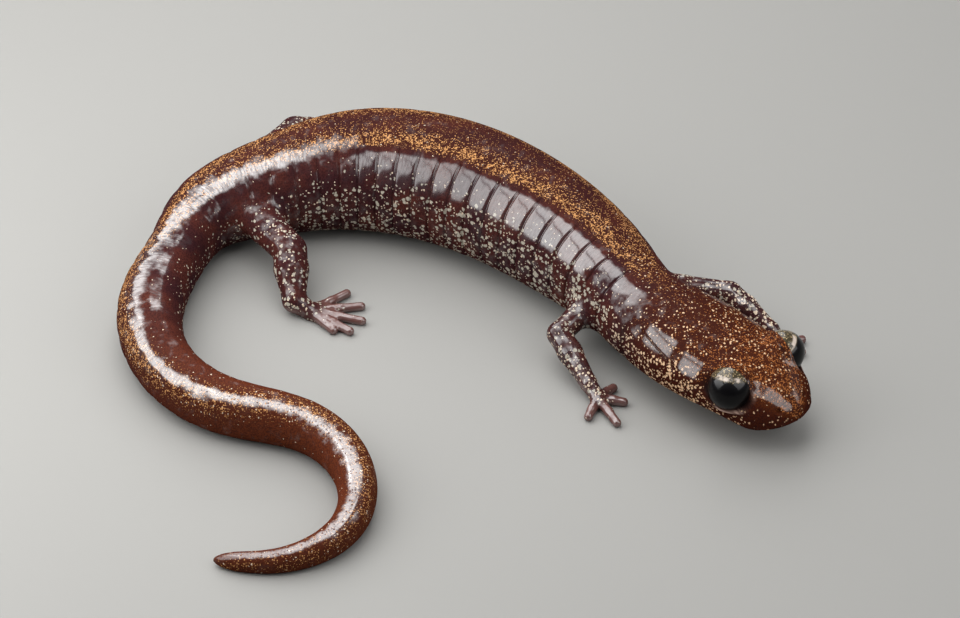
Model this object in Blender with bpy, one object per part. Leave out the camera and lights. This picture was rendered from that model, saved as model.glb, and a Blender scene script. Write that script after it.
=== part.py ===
"""A life-size model of a Scott Bar salamander at rest, curled in an S on the ground.

The body is one smooth tube carried along a curved midline. Its cross-section changes at named
stations from the snout to the tip of the tail, and grooves and folds are pressed into it. The tube
is parted by thin cuts into the head, neck, trunk and tail, and the legs, feet and eyes are fitted
against it. Lengths below are in millimetres and are turned into metres when a mesh is made.

Frame: +Z up, the floor at z = 0, +X to the right and +Y away from someone who looks at the
animal's right side. The origin is at the middle of the animal's footprint, on the floor.
"""

import math

import bmesh
import bpy
import numpy as np
from mathutils import Matrix, Vector

MM = 0.001
GAP = 0.3
FLOOR = 0.0
MERGE = 0.001

# Driving lengths
SNOUT_TO_VENT = 60.0
TAIL_LENGTH = 56.6
BODY_LENGTH = SNOUT_TO_VENT + TAIL_LENGTH

# The pose: points on the floor under the midline, from the snout to the tip of the tail, as they
# stand in the photograph, and the middle of the animal's footprint, which becomes the origin
POSE = (
    ("snout", 24.7, -16.7),
    ("eyes", 21.5, -13.35),
    ("jaw", 17.95, -9.9),
    ("neck", 13.2, -4.95),
    ("shoulders", 10.7, -1.0),
    ("chest", 7.5, 3.1),
    ("ribs", 2.4, 7.8),
    ("belly", -4.0, 11.4),
    ("flank", -11.4, 12.6),
    ("loin", -17.1, 11.4),
    ("vent", -22.75, 8.55),
    ("tail root", -24.75, 4.2),
    ("tail bend", -26.45, -2.5),
    ("tail quarter", -25.0, -9.3),
    ("tail middle", -19.9, -14.2),
    ("tail turn", -13.6, -16.4),
    ("tail end", -9.6, -21.8),
    ("tail point", -10.6, -27.8),
    ("tail hook", -14.9, -30.4),
    ("tip", -20.1, -30.0),
)
MIDDLE = (-1.447, -3.08)

# Stations: name, distance from the snout, half width, height of the back, height of the underside
STATIONS = (
    ("snout", 0.0, 2.95, 4.7, 2.2),
    ("nostrils", 1.4, 3.25, 5.15, 1.85),
    ("eyes", 4.6, 4.1, 6.25, 1.5),
    ("mouth corner", 8.4, 4.6, 6.75, 1.25),
    ("jaw", 11.6, 4.6, 7.0, 1.1),
    ("throat fold", 15.0, 4.1, 7.15, 0.9),
    ("neck", 18.0, 3.75, 7.35, 0.55),
    ("shoulders", 21.5, 4.1, 8.0, 0.2),
    ("chest", 26.5, 4.7, 8.9, -0.08),
    ("ribs", 33.0, 5.15, 9.6, -0.12),
    ("belly", 41.0, 5.3, 9.8, -0.12),
    ("flank", 47.5, 4.9, 9.3, -0.12),
    ("loin", 52.5, 4.2, 8.3, -0.1),
    ("hips", 56.5, 3.6, 7.3, -0.1),
    ("vent", 60.5, 3.0, 6.2, -0.1),
    ("tail root", 64.5, 2.5, 5.35, -0.08),
    ("tail bend", 70.5, 2.65, 5.2, -0.08),
    ("tail quarter", 79.0, 2.4, 4.75, -0.08),
    ("tail middle", 87.0, 2.15, 4.3, -0.08),
    ("tail turn", 95.0, 1.85, 3.75, -0.08),
    ("tail end", 102.0, 1.5, 3.05, -0.08),
    ("tail point", 109.0, 1.05, 2.15, -0.06),
    ("tip", 116.6, 0.6, 1.2, -0.05),
)
SNOUT_ROUNDING = 2.6
TIP_ROUNDING = 2.2
SECTION_SQUARENESS = 2.25

# The widest line of the section, as a share of its height: low at the lips, higher from the eyes on
WIDEST_AT_LIPS, WIDEST_BEHIND, LIPS_TO_EYES = 0.26, 0.44, 6.0

# How far the lower jaw stays behind the upper lip, the stretch over which it does, and the sines of
# the angles below the widest line between which it begins
JAW_RECESS, JAW_RECESS_LENGTH, LIP_SINES = 0.4, 3.0, (0.34, 0.5)

# Costal grooves between the armpit and the groin, as deep as they are in the flank, and the two
# like folds that carry on ahead of them over the shoulder
COSTAL_GROOVES, SHOULDER_FOLDS = 17, 2
FIRST_GROOVE, LAST_GROOVE = 24.1, 56.9
GROOVE_PITCH = (LAST_GROOVE - FIRST_GROOVE) / (COSTAL_GROOVES - 1)
GROOVE_DEPTH, GROOVE_WIDTH = 0.26, 0.27
GROOVE_TOP = 48.0

# Folds of the head, as angles round the section: 0 at the side, 90 at the back
THROAT_FOLD_AT, THROAT_FOLD_DEPTH, THROAT_FOLD_WIDTH = 14.8, 0.4, 0.3
MOUTH_ANGLE, MOUTH_CORNER, MOUTH_DEPTH = -22.0, 8.4, 0.3
CHEEK_GROOVE_FROM, CHEEK_GROOVE_FRONT_ANGLE = 9.2, 21.0
CHEEK_GROOVE_TO, CHEEK_GROOVE_REAR_ANGLE = 13.8, 38.0
CHEEK_GROOVE_DEPTH = 0.26
LINE_WIDTH = 0.2
LINE_SPREAD = 3.4

# Eyes, which look out, up and a little ahead, and the lids' opening in front of each
EYE_AT, EYE_OUT, EYE_HEIGHT, EYE_RADIUS = 4.6, 3.0, 5.0, 1.55
EYE_LIFT, EYE_AHEAD = 0.45, 0.3
EYE_GAP, LID_RADII = 0.2, (1.95, 1.95, 1.6)
LID_OPENING, LID_OPENING_DEPTH = (1.8, 1.6, 1.5), 1.3
NOSTRIL_AT, NOSTRIL_OUT, NOSTRIL_HEIGHT, NOSTRIL_RADIUS = 0.7, 1.6, 4.4, 0.28

# Cuts that part the body into nodes: name, from, to
BODY_NODES = (
    ("head", 0.0, 15.4),
    ("neck", 15.4, 18.2),
    ("torso_front", 18.2, 33.0),
    ("torso_middle", 33.0, 45.0),
    ("torso_rear", 45.0, SNOUT_TO_VENT),
    ("tail_root", SNOUT_TO_VENT, 71.0),
    ("tail_bend", 71.0, 82.0),
    ("tail_middle", 82.0, 93.0),
    ("tail_turn", 93.0, 104.0),
    ("tail_tip", 104.0, BODY_LENGTH),
)

# Legs: where each leaves the body, its joints and radii, the middle of its foot and its toe tips
LEGS = {
    "front_leg_right": {
        "root": (20.6, 1, 3.3),
        "knee": (6.3, -6.3, 2.7),
        "ankle": (8.6, -10.4, 1.05),
        "radii": (1.2, 1.0, 0.95, 0.95, 0.74),
        "sole": (9.3, -11.5),
        "sole_size": (0.9, 0.5),
        "toes": ((8.4, -13.9), (10.9, -14.6), (11.7, -11.9), (10.8, -9.9)),
        "foot": "front_foot_right",
    },
    "front_leg_left": {
        "root": (20.6, -1, 3.3),
        "knee": (20.1, -1.2, 2.7),
        "ankle": (23.4, -3.9, 1.05),
        "radii": (1.2, 1.0, 0.95, 0.95, 0.74),
        "sole": (24.1, -5.0),
        "sole_size": (0.9, 0.5),
        "toes": ((26.2, -4.1), (26.1, -5.9), (24.9, -7.2), (23.3, -7.0)),
        "foot": "front_foot_left",
    },
    "hind_leg_right": {
        "root": (56.8, 1, 3.4),
        "knee": (-15.5, 3.6, 3.2),
        "ankle": (-15.05, -0.3, 1.15),
        "radii": (1.75, 1.5, 1.42, 1.38, 1.1),
        "sole": (-13.7, -0.9),
        "sole_size": (1.3, 0.55),
        "toes": ((-11.6, -3.35), (-10.2, -3.4), (-9.2, -2.0), (-9.3, 0.0), (-10.6, 1.8)),
        "foot": "hind_foot_right",
    },
    "hind_leg_left": {
        "root": (56.8, -1, 3.4),
        "knee": (-15.6, 19.5, 3.1),
        "ankle": (-12.7, 21.6, 1.15),
        "radii": (1.75, 1.5, 1.42, 1.38, 1.1),
        "sole": (-11.5, 22.3),
        "sole_size": (1.3, 0.55),
        "toes": ((-11.9, 24.9), (-10.1, 25.1), (-8.2, 24.0), (-7.7, 22.2), (-8.9, 20.7)),
        "foot": "hind_foot_left",
    },
}
ROOT_DEPTH = 0.45
KNEE_SLIMMER = 0.97
CUTTER_REACH = 6.0
SOLE_HEIGHT, TOE_HEIGHT, TOE_RADIUS = 0.5, 0.34, 0.38
TOE_START, KNUCKLE_AT, KNUCKLE_LIFT = 0.3, 0.55, 0.07
SOLE_LENGTH, SOLE_TIP, SOLE_SIDES = 0.55, 0.35, 12

# Facets
TRUNK_SIDES, TAIL_SIDES, LEG_SIDES, TOE_SIDES = 28, 20, 14, 8

SKIN_BROWN = (0.075, 0.030, 0.022, 1.0)
BACK_BRONZE = (0.160, 0.075, 0.030, 1.0)
EYE_BLACK = (0.006, 0.005, 0.005, 1.0)


def natural_spline(xs, ys):
    """A function that runs smoothly through the points: the natural cubic spline."""
    xs, ys = np.asarray(xs, float), np.asarray(ys, float)
    step = np.diff(xs)
    slope = np.diff(ys) / step
    size = len(xs)
    system = np.eye(size)
    known = np.zeros(size)
    for i in range(1, size - 1):
        system[i, i - 1 : i + 2] = step[i - 1], 2 * (step[i - 1] + step[i]), step[i]
        known[i] = 6 * (slope[i] - slope[i - 1])
    bend = np.linalg.solve(system, known)

    def value(x):
        x = np.clip(x, xs[0], xs[-1])
        i = np.clip(np.searchsorted(xs, x) - 1, 0, size - 2)
        low, high = x - xs[i], xs[i + 1] - x
        return (
            (bend[i] * high**3 + bend[i + 1] * low**3) / (6 * step[i])
            + (ys[i] / step[i] - bend[i] * step[i] / 6) * high
            + (ys[i + 1] / step[i] - bend[i + 1] * step[i] / 6) * low
        )

    return value


DISTANCES = [row[1] for row in STATIONS]
HALF_WIDTH, BACK, UNDERSIDE = (
    natural_spline(DISTANCES, [row[column] for row in STATIONS]) for column in (2, 3, 4)
)


def midline():
    """The midline of the body: its distances from the snout with x, y and heading at each."""
    points = np.array([row[1:] for row in POSE]) - MIDDLE
    marks = np.concatenate([[0.0], np.cumsum(np.hypot(*np.diff(points, axis=0).T))])
    steps = np.linspace(0.0, marks[-1], 4001)
    x, y = (natural_spline(marks, points[:, axis])(steps) for axis in (0, 1))
    along = np.concatenate([[0.0], np.cumsum(np.hypot(np.diff(x), np.diff(y)))])
    heading = np.unwrap(np.arctan2(np.gradient(y, steps), np.gradient(x, steps)))
    return along * BODY_LENGTH / along[-1], x, y, heading


WALK, MIDLINE_X, MIDLINE_Y, MIDLINE_HEADING = midline()


def heading_at(along):
    """The direction in radians in which the midline runs on towards the tail."""
    return np.interp(along, WALK, MIDLINE_HEADING)


def bump(distance, width):
    """1 at no distance, falling smoothly to 0 over about twice the width."""
    return np.exp(-((distance / width) ** 2))


def ramp(value, low, high):
    """0 below low, 1 above high and a smooth step between."""
    t = np.clip((value - low) / (high - low), 0.0, 1.0)
    return t * t * (3 - 2 * t)


def section(along):
    """Half width, height of the back, of the widest line and of the underside at a distance."""
    nose = np.sqrt(np.clip(1 - (1 - np.clip(along / SNOUT_ROUNDING, 0, 1)) ** 2, 0, 1))
    left = (BODY_LENGTH - along) / TIP_ROUNDING
    point = np.sqrt(np.clip(1 - (1 - np.clip(left, 0, 1)) ** 2, 0, 1))
    full = nose * point
    back, under = BACK(along), UNDERSIDE(along)
    widest = WIDEST_AT_LIPS + (WIDEST_BEHIND - WIDEST_AT_LIPS) * ramp(along, 0, LIPS_TO_EYES)
    middle = under + widest * (back - under)
    width = HALF_WIDTH(along) * full
    return width, middle + (back - middle) * full, middle, middle - (middle - under) * full


def cheek_angle(along):
    """The angle of the groove behind the eye, which climbs from the mouth's corner to the neck."""
    reach = (CHEEK_GROOVE_FROM, CHEEK_GROOVE_TO)
    return np.interp(along, reach, (CHEEK_GROOVE_FRONT_ANGLE, CHEEK_GROOVE_REAR_ANGLE))


def relief(along, angle):
    """How deep the grooves and folds press into the skin, in millimetres."""
    side = np.degrees(np.abs(np.arctan2(np.sin(angle), np.abs(np.cos(angle)))))
    above = np.sin(angle) > 0
    steep = np.where(above, side, -side)
    number = np.round((along - FIRST_GROOVE) / GROOVE_PITCH)
    number = np.clip(number, -SHOULDER_FOLDS, COSTAL_GROOVES - 1)
    groove = bump(along - FIRST_GROOVE - number * GROOVE_PITCH, GROOVE_WIDTH)
    costal = GROOVE_DEPTH * groove * (1 - 0.85 * ramp(steep, GROOVE_TOP, GROOVE_TOP + 22))
    fold = THROAT_FOLD_DEPTH * bump(along - THROAT_FOLD_AT, THROAT_FOLD_WIDTH) * (1 - ramp(steep, 15, 45))
    size = np.maximum(HALF_WIDTH(along), 1.0)
    mouth_gap = np.radians(steep - MOUTH_ANGLE) * size
    mouth_end = ramp(along, MOUTH_CORNER - 0.8, MOUTH_CORNER)
    mouth = MOUTH_DEPTH * bump(mouth_gap, LINE_WIDTH) * (1 - mouth_end)
    cheek_gap = np.radians(steep - cheek_angle(along)) * size
    cheek_run = ramp(along, CHEEK_GROOVE_FROM, CHEEK_GROOVE_FROM + 0.8)
    cheek_run *= 1 - ramp(along, CHEEK_GROOVE_TO - 0.6, CHEEK_GROOVE_TO)
    cheek = CHEEK_GROOVE_DEPTH * bump(cheek_gap, LINE_WIDTH) * cheek_run
    return costal + fold + mouth + cheek


def body_point(along, angle, swell=0.0, carved=True):
    """Points of the skin at distances along the body and angles round it. The cross-section is a
    superellipse, so its side and height go as powers of the cosine and sine of the angle."""
    along, angle = np.broadcast_arrays(np.asarray(along, float), np.asarray(angle, float))
    width, back, middle, under = section(along)
    power = 2 / SECTION_SQUARENESS
    out = width * np.sign(np.cos(angle)) * np.abs(np.cos(angle)) ** power
    rise = np.abs(np.sin(angle)) ** power * np.where(np.sin(angle) > 0, back - middle, under - middle)
    reach = np.maximum(np.hypot(out, rise), 0.05)
    press = relief(along, angle) if carved else 0.0
    scale = 1 + (swell - np.minimum(press, 0.5 * reach)) / reach
    out, rise = out * scale, rise * scale
    heading = heading_at(along)
    x = np.interp(along, WALK, MIDLINE_X) - out * np.sin(heading)
    y = np.interp(along, WALK, MIDLINE_Y) + out * np.cos(heading)
    recess = JAW_RECESS * ramp(JAW_RECESS_LENGTH - along, 0, JAW_RECESS_LENGTH)
    recess = recess * ramp(-np.sin(angle), *LIP_SINES)
    x = x + recess * np.cos(heading)
    y = y + recess * np.sin(heading)
    return np.stack([x, y, middle + rise], axis=-1)


def frame_at(along, out, height):
    """A point beside the midline: out to the animal's right, at a height above the floor."""
    heading = float(heading_at(along))
    x = float(np.interp(along, WALK, MIDLINE_X)) - out * math.sin(heading)
    y = float(np.interp(along, WALK, MIDLINE_Y)) + out * math.cos(heading)
    return Vector((x, y, height))


def placed(point):
    """A point measured in the pose's frame, moved so that the origin is under the animal's middle."""
    return Vector((point[0] - MIDDLE[0], point[1] - MIDDLE[1], point[2]))


def mesh_object(name, points, faces):
    """A mesh object in metres from points in millimetres, with its faces turned outwards."""
    mesh = bpy.data.meshes.new(name)
    mesh.from_pydata([tuple(p) for p in np.asarray(points, float) * MM], [], faces)
    tidy = bmesh.new()
    tidy.from_mesh(mesh)
    bmesh.ops.recalc_face_normals(tidy, faces=tidy.faces)
    tidy.to_mesh(mesh)
    tidy.free()
    made = bpy.data.objects.new(name, mesh)
    bpy.context.scene.collection.objects.link(made)
    return made


def loft(name, rings, start_point=None, end_point=None):
    """A closed tube through rings of equal count, each end a flat cap or drawn in to a point."""
    count = len(rings[0])
    points = [p for ring in rings for p in ring]
    faces = []
    for row in range(len(rings) - 1):
        for k in range(count):
            a, b = row * count + k, row * count + (k + 1) % count
            faces.append((a, b, b + count, a + count))
    for point, first in ((start_point, 0), (end_point, (len(rings) - 1) * count)):
        rim = list(range(first, first + count))
        if point is None:
            faces.append(tuple(rim))
            continue
        points.append(point)
        faces += [(rim[k], rim[(k + 1) % count], len(points) - 1) for k in range(count)]
    return mesh_object(name, points, faces)


def apply_boolean(target, operation, solver, other=None, collection=None):
    """Runs one Boolean on an object and keeps the result as its mesh."""
    change = target.modifiers.new("join", "BOOLEAN")
    change.operation = operation
    change.solver = solver
    if collection is not None:
        change.operand_type = "COLLECTION"
        change.collection = collection
    else:
        change.object = other
    graph = bpy.context.evaluated_depsgraph_get()
    result = bpy.data.meshes.new_from_object(target.evaluated_get(graph))
    target.modifiers.remove(change)
    target.data = result


def cut(target, cutter):
    """Takes a cutter away from an object and removes the cutter."""
    apply_boolean(target, "DIFFERENCE", "EXACT", other=cutter)
    bpy.data.objects.remove(cutter)


def fuse(target, others):
    """Joins closed objects into the target with one Boolean union and removes them."""
    group = bpy.data.collections.new("fused")
    bpy.context.scene.collection.children.link(group)
    for other in others:
        group.objects.link(other)
        bpy.context.scene.collection.objects.unlink(other)
    apply_boolean(target, "UNION", "EXACT", collection=group)
    for other in others:
        bpy.data.objects.remove(other)
    bpy.data.collections.remove(group)


def keep_largest(target):
    """Drops every closed surface of an object but its largest, such as a scrap left by a cut."""
    shape = bmesh.new()
    shape.from_mesh(target.data)
    bmesh.ops.remove_doubles(shape, verts=shape.verts, dist=MERGE * MM)
    unseen = set(shape.verts)
    shells = []
    while unseen:
        found, edge = set(), [unseen.pop()]
        while edge:
            vert = edge.pop()
            found.add(vert)
            near = {e.other_vert(vert) for e in vert.link_edges} & unseen
            unseen -= near
            edge += near
        shells.append(found)
    largest = max(shells, key=len)
    bmesh.ops.delete(shape, geom=[v for v in shape.verts if v not in largest], context="VERTS")
    shape.to_mesh(target.data)
    shape.free()


def cut_floor(target):
    """Cuts off whatever reaches below the floor, which leaves flats under a foot."""
    xs, ys, zs = zip(*(v.co for v in target.data.vertices))
    low, high = min(zs) - MM, FLOOR * MM
    bpy.ops.mesh.primitive_cube_add(size=1.0)
    slab = bpy.context.object
    slab.scale = (max(xs) - min(xs) + 2 * MM, max(ys) - min(ys) + 2 * MM, high - low)
    slab.location = ((max(xs) + min(xs)) / 2, (max(ys) + min(ys)) / 2, (high + low) / 2)
    bpy.context.view_layer.update()
    cut(target, slab)


def flatten_sole(target):
    """Presses whatever hangs below the floor flat on it, which gives a length of body its flat."""
    points = np.empty(len(target.data.vertices) * 3)
    target.data.vertices.foreach_get("co", points)
    points[2::3] = np.maximum(points[2::3], FLOOR)
    target.data.vertices.foreach_set("co", points)
    target.data.update()


def even_angles(sides):
    """Angles evenly round a section, the same at every distance."""
    return np.arange(sides) * 2 * math.pi / sides


def head_angles(along):
    """Angles round the head, with three lines along the mouth and three along the cheek groove."""
    cheek = cheek_angle(along)
    right = [-74, -58, -44, -33]
    right += [MOUTH_ANGLE - LINE_SPREAD, MOUTH_ANGLE, MOUTH_ANGLE + LINE_SPREAD, -10, 0, 10]
    right += [cheek - LINE_SPREAD, cheek, cheek + LINE_SPREAD, 50, 63, 76]
    left = [180 - a for a in right[::-1]]
    return np.radians([-90, *right, 90, *left])


def rings_between(start, end):
    """Distances of the rings from one cut to the next: close at the snout, the throat fold, each
    costal groove and the tail's tip, and wide elsewhere."""
    marks = [start, end]
    marks += [0.06, 0.25, 0.55, 0.95, 1.45, 2.0, 2.6, 3.4, 4.2, 5.0, 5.8, 6.6, 7.4, 8.1, 8.7, 9.5]
    marks += [10.5, 11.5, 12.5, 13.3, 13.9, THROAT_FOLD_AT - 0.45, THROAT_FOLD_AT, THROAT_FOLD_AT + 0.4]
    marks += [16.4, 17.3]
    for number in range(-SHOULDER_FOLDS, COSTAL_GROOVES):
        centre = FIRST_GROOVE + number * GROOVE_PITCH
        marks += [centre - 0.36, centre, centre + 0.36, centre + GROOVE_PITCH / 2]
    marks += list(np.arange(LAST_GROOVE + 2.2, BODY_LENGTH - 2.4, 1.9))
    marks += [BODY_LENGTH - TIP_ROUNDING * share for share in (1.0, 0.62, 0.36, 0.16, 0.05)]
    marks = sorted(m for m in marks if start <= m <= end)
    kept = [marks[0]]
    for mark in marks[1:-1]:
        if mark - kept[-1] > 0.16 and (end >= BODY_LENGTH or end - mark > 0.16):
            kept.append(mark)
    return kept + [marks[-1]]


def body_length(name, start, end, angles, swell=0.0, carved=True):
    """One closed length of the body between two distances, drawn in to a point at the snout or tip.
    The angles round each section are a list, or a function of the distance."""
    distances = [d for d in rings_between(start, end) if 0 < d < BODY_LENGTH]
    rings = [body_point(d, angles(d) if callable(angles) else angles, swell, carved) for d in distances]
    nose = body_point(0.0, 0.0) if start <= 0 else None
    tip = body_point(BODY_LENGTH, 0.0) if end >= BODY_LENGTH else None
    return loft(name, rings, nose, tip)


def ball(name, centre, radii, turn=None, segments=20, rings=12):
    """A closed sphere of one radius, or an ellipsoid of three, turned about its centre."""
    shape = bmesh.new()
    bmesh.ops.create_uvsphere(shape, u_segments=segments, v_segments=rings, radius=1.0)
    sizes = radii if isinstance(radii, tuple) else (radii,) * 3
    matrix = Matrix.Diagonal((*sizes, 1.0))
    if turn is not None:
        matrix = turn.to_4x4() @ matrix
    bmesh.ops.transform(shape, matrix=Matrix.Translation(centre) @ matrix, verts=shape.verts)
    bmesh.ops.scale(shape, vec=(MM, MM, MM), verts=shape.verts)
    mesh = bpy.data.meshes.new(name)
    shape.to_mesh(mesh)
    shape.free()
    made = bpy.data.objects.new(name, mesh)
    bpy.context.scene.collection.objects.link(made)
    return made


def eye_turn(side):
    """A turn whose Z looks out of one eye: out to the side, lifted and swung ahead."""
    heading = float(heading_at(EYE_AT))
    ahead = Vector((-math.cos(heading), -math.sin(heading), 0.0))
    out = Vector((-math.sin(heading), math.cos(heading), 0.0)) * side
    look = (out + Vector((0, 0, EYE_LIFT)) + ahead * EYE_AHEAD).normalized()
    flank = (ahead - look * ahead.dot(look)).normalized()
    return Matrix((flank, look.cross(flank), look)).transposed()


def make_head(start, end):
    """The head: the front of the body's tube, a socket and lids for each eye, and the nostrils."""
    head = body_length("head", start, end - GAP / 2, head_angles)
    lids = []
    for side in (1, -1):
        centre = frame_at(EYE_AT, side * EYE_OUT, EYE_HEIGHT)
        lids.append(ball("lid", centre, LID_RADII, eye_turn(side), 20, 12))
    fuse(head, lids)
    for side in (1, -1):
        centre = frame_at(EYE_AT, side * EYE_OUT, EYE_HEIGHT)
        turn = eye_turn(side)
        opening = centre + turn @ Vector((0, 0, LID_OPENING_DEPTH))
        cut(head, ball("opening", opening, LID_OPENING, turn, 20, 12))
        cut(head, ball("socket", centre, EYE_RADIUS + EYE_GAP, turn, 20, 12))
        nostril = frame_at(NOSTRIL_AT, side * NOSTRIL_OUT, NOSTRIL_HEIGHT)
        cut(head, ball("nostril", nostril, NOSTRIL_RADIUS, segments=8, rings=6))
    keep_largest(head)
    return head


def make_eye(name, side):
    """One eyeball, loose in its socket by the gap."""
    centre = frame_at(EYE_AT, side * EYE_OUT, EYE_HEIGHT)
    return ball(name, centre, EYE_RADIUS, eye_turn(side), 20, 12)


def tube(name, points, radii, sides, round_start=False, round_end=False):
    """A straight or gently bent limb: circles of the given radii along the points. A round end adds
    the rings of a dome."""
    points = [Vector(p) for p in points]
    nexts, befores = points[1:] + points[-1:], points[:1] + points[:-1]
    directions = [(after - before).normalized() for before, after in zip(befores, nexts)]
    rings, dome = [], (0.35, 0.7, 0.92)
    stations = list(zip(points, radii, directions))
    if round_start:
        p, r, d = stations[0]
        stations = [(p - d * r * s, r * math.sqrt(1 - s * s), d) for s in dome[::-1]] + stations
    if round_end:
        p, r, d = stations[-1]
        stations += [(p + d * r * s, r * math.sqrt(1 - s * s), d) for s in dome]
    for p, r, d in stations:
        side = d.cross(Vector((0, 0, 1))).normalized()
        over = side.cross(d)
        ring = [p + side * r * math.cos(a) + over * r * math.sin(a) for a in even_angles(sides)]
        rings.append(ring)
    start = points[0] - directions[0] * radii[0] if round_start else None
    end = points[-1] + directions[-1] * radii[-1] if round_end else None
    return loft(name, rings, start, end)


def make_leg(name, leg):
    """A leg from its root in the flank to the ankle: two fused lengths, cut clear of the body."""
    along, side, height = leg["root"]
    half_width = float(HALF_WIDTH(along))
    root = frame_at(along, side * half_width * ROOT_DEPTH, height)
    knee, ankle = placed(leg["knee"]), placed(leg["ankle"])
    root_radius, upper, knee_radius, lower, ankle_radius = leg["radii"]
    shin = (ankle - knee).normalized()
    ankle_end = ankle - shin * GAP / 2
    thigh_points = [root, root.lerp(knee, 0.5), knee]
    thigh = tube(name, thigh_points, (root_radius, upper, knee_radius), LEG_SIDES, round_end=True)
    shin_points = [knee, knee.lerp(ankle, 0.45), ankle_end]
    shin_radii = (knee_radius * KNEE_SLIMMER, lower, ankle_radius)
    shank = tube("shank", shin_points, shin_radii, LEG_SIDES, round_start=True)
    fuse(thigh, [shank])
    near, far = along - CUTTER_REACH, along + CUTTER_REACH
    body = body_length("body cutter", near, far, even_angles(TRUNK_SIDES), GAP, False)
    cut(thigh, body)
    keep_largest(thigh)
    return thigh


def make_foot(leg):
    """A foot from the ankle on: a flattened sole with its toes fused on, pressed on the floor."""
    knee, ankle = placed(leg["knee"]), placed(leg["ankle"])
    shin = (ankle - knee).normalized()
    start = ankle + shin * GAP / 2
    sole = placed((*leg["sole"], SOLE_HEIGHT))
    heel = start.lerp(sole, 0.5)
    toes = [placed((*tip, TOE_HEIGHT)) for tip in leg["toes"]]
    ankle_radius = leg["radii"][4]
    foot = ankle_to_sole(leg, start, shin, heel, sole)
    pieces = []
    for number, tip in enumerate(toes):
        ahead = (tip - sole).normalized()
        knuckle = sole.lerp(tip, KNUCKLE_AT)
        knuckle.z = TOE_HEIGHT + KNUCKLE_LIFT
        points = (sole + ahead * TOE_START, knuckle, tip - ahead * TOE_RADIUS * 0.9)
        radii = (TOE_RADIUS * 1.1, TOE_RADIUS, TOE_RADIUS * 0.9)
        pieces.append(tube(f"toe_{number}", points, radii, TOE_SIDES, round_start=True, round_end=True))
    fuse(foot, pieces)
    cut_floor(foot)
    keep_largest(foot)
    return foot


def ankle_to_sole(leg, start, shin, heel, sole):
    """The sole's loft: a ring square to the shin at the ankle, then wider and flatter ones."""
    radius, (wide, high) = leg["radii"][4], leg["sole_size"]
    ahead = Vector((sole.x - start.x, sole.y - start.y, 0.0)).normalized()
    across = ahead.cross(Vector((0, 0, 1))).normalized()
    end = sole + ahead * SOLE_LENGTH
    rows = (
        (start, shin, radius, radius),
        (heel, (shin + ahead).normalized(), (radius + wide) / 2, (radius + high) / 2),
        (sole, ahead, wide, high),
        (end, ahead, wide * 0.8, high * 0.85),
    )
    rings = []
    for centre, direction, half_width, half_height in rows:
        side = (across - direction * across.dot(direction)).normalized() * half_width
        over = side.cross(direction).normalized() * half_height
        rings.append([centre + side * math.cos(a) + over * math.sin(a) for a in even_angles(SOLE_SIDES)])
    return loft(leg["foot"], rings, None, end + ahead * SOLE_TIP)


def finish(made, colour, roughness, smooth_angle=40.0):
    """Gives an object its own material and smooth shading."""
    material = bpy.data.materials.new(made.name)
    material.use_nodes = True
    shader = material.node_tree.nodes["Principled BSDF"]
    shader.inputs["Base Color"].default_value = colour
    shader.inputs["Roughness"].default_value = roughness
    shader.inputs["Metallic"].default_value = 0.0
    made.data.materials.clear()
    made.data.materials.append(material)
    made.data.shade_smooth()
    made.data.set_sharp_from_angle(angle=math.radians(smooth_angle))


def make_body():
    """Every length of the body from the head to the tail's tip."""
    for name, start, end in BODY_NODES:
        if name == "head":
            made = make_head(start, end)
        else:
            sides = TAIL_SIDES if name.startswith("tail") else TRUNK_SIDES
            last = end if end >= BODY_LENGTH else end - GAP / 2
            made = body_length(name, start + GAP / 2, last, even_angles(sides))
            flatten_sole(made)
        finish(made, BACK_BRONZE if name.startswith("torso") else SKIN_BROWN, 0.3)


def main():
    for old in list(bpy.data.objects):
        bpy.data.objects.remove(old)
    make_body()
    for name, side in (("eye_right", 1), ("eye_left", -1)):
        finish(make_eye(name, side), EYE_BLACK, 0.08)
    for name, leg in LEGS.items():
        finish(make_leg(name, leg), SKIN_BROWN, 0.3)
        finish(make_foot(leg), SKIN_BROWN, 0.3)


main()
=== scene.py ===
# %% [markdown]
# # A Scott Bar salamander at rest
#
# A small woodland salamander, about 12 cm from snout to tail tip, curled in an S on the ground. Its
# skin is bare and wet, dark purple-brown, with a band of fine bronze flecks down the back and white
# flecks on the flanks and legs. We start from solids that already have the right size and pose.
# They stay where they are, and we lay one smooth skin over them and set a pair of eyes in it.

# %% Load the frame
import math

import bpy
import numpy as np
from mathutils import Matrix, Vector


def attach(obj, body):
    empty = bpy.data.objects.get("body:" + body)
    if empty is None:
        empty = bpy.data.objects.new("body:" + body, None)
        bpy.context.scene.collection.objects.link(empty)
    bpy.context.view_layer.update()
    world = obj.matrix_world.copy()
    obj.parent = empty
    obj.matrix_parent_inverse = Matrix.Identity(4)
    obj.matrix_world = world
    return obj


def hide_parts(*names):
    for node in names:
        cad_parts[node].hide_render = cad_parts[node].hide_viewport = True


MM = 0.001
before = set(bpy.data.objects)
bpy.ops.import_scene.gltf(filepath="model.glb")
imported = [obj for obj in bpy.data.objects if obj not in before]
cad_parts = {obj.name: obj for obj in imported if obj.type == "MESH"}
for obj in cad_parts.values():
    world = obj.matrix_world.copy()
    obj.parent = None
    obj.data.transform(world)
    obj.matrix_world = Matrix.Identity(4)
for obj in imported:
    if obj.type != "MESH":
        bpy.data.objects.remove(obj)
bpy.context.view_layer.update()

# %% [markdown]
# ## The midline
#
# A curled animal is easiest to model straight, as distances along a line and offsets across it, and
# to bend afterwards. So the first thing to settle is that line. It could be a Bezier curve drawn in
# the viewport. Here it is a natural cubic spline through points on the floor, because numpy can then
# give us any point and any direction along it. All sizes in this part are in millimetres.

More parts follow.
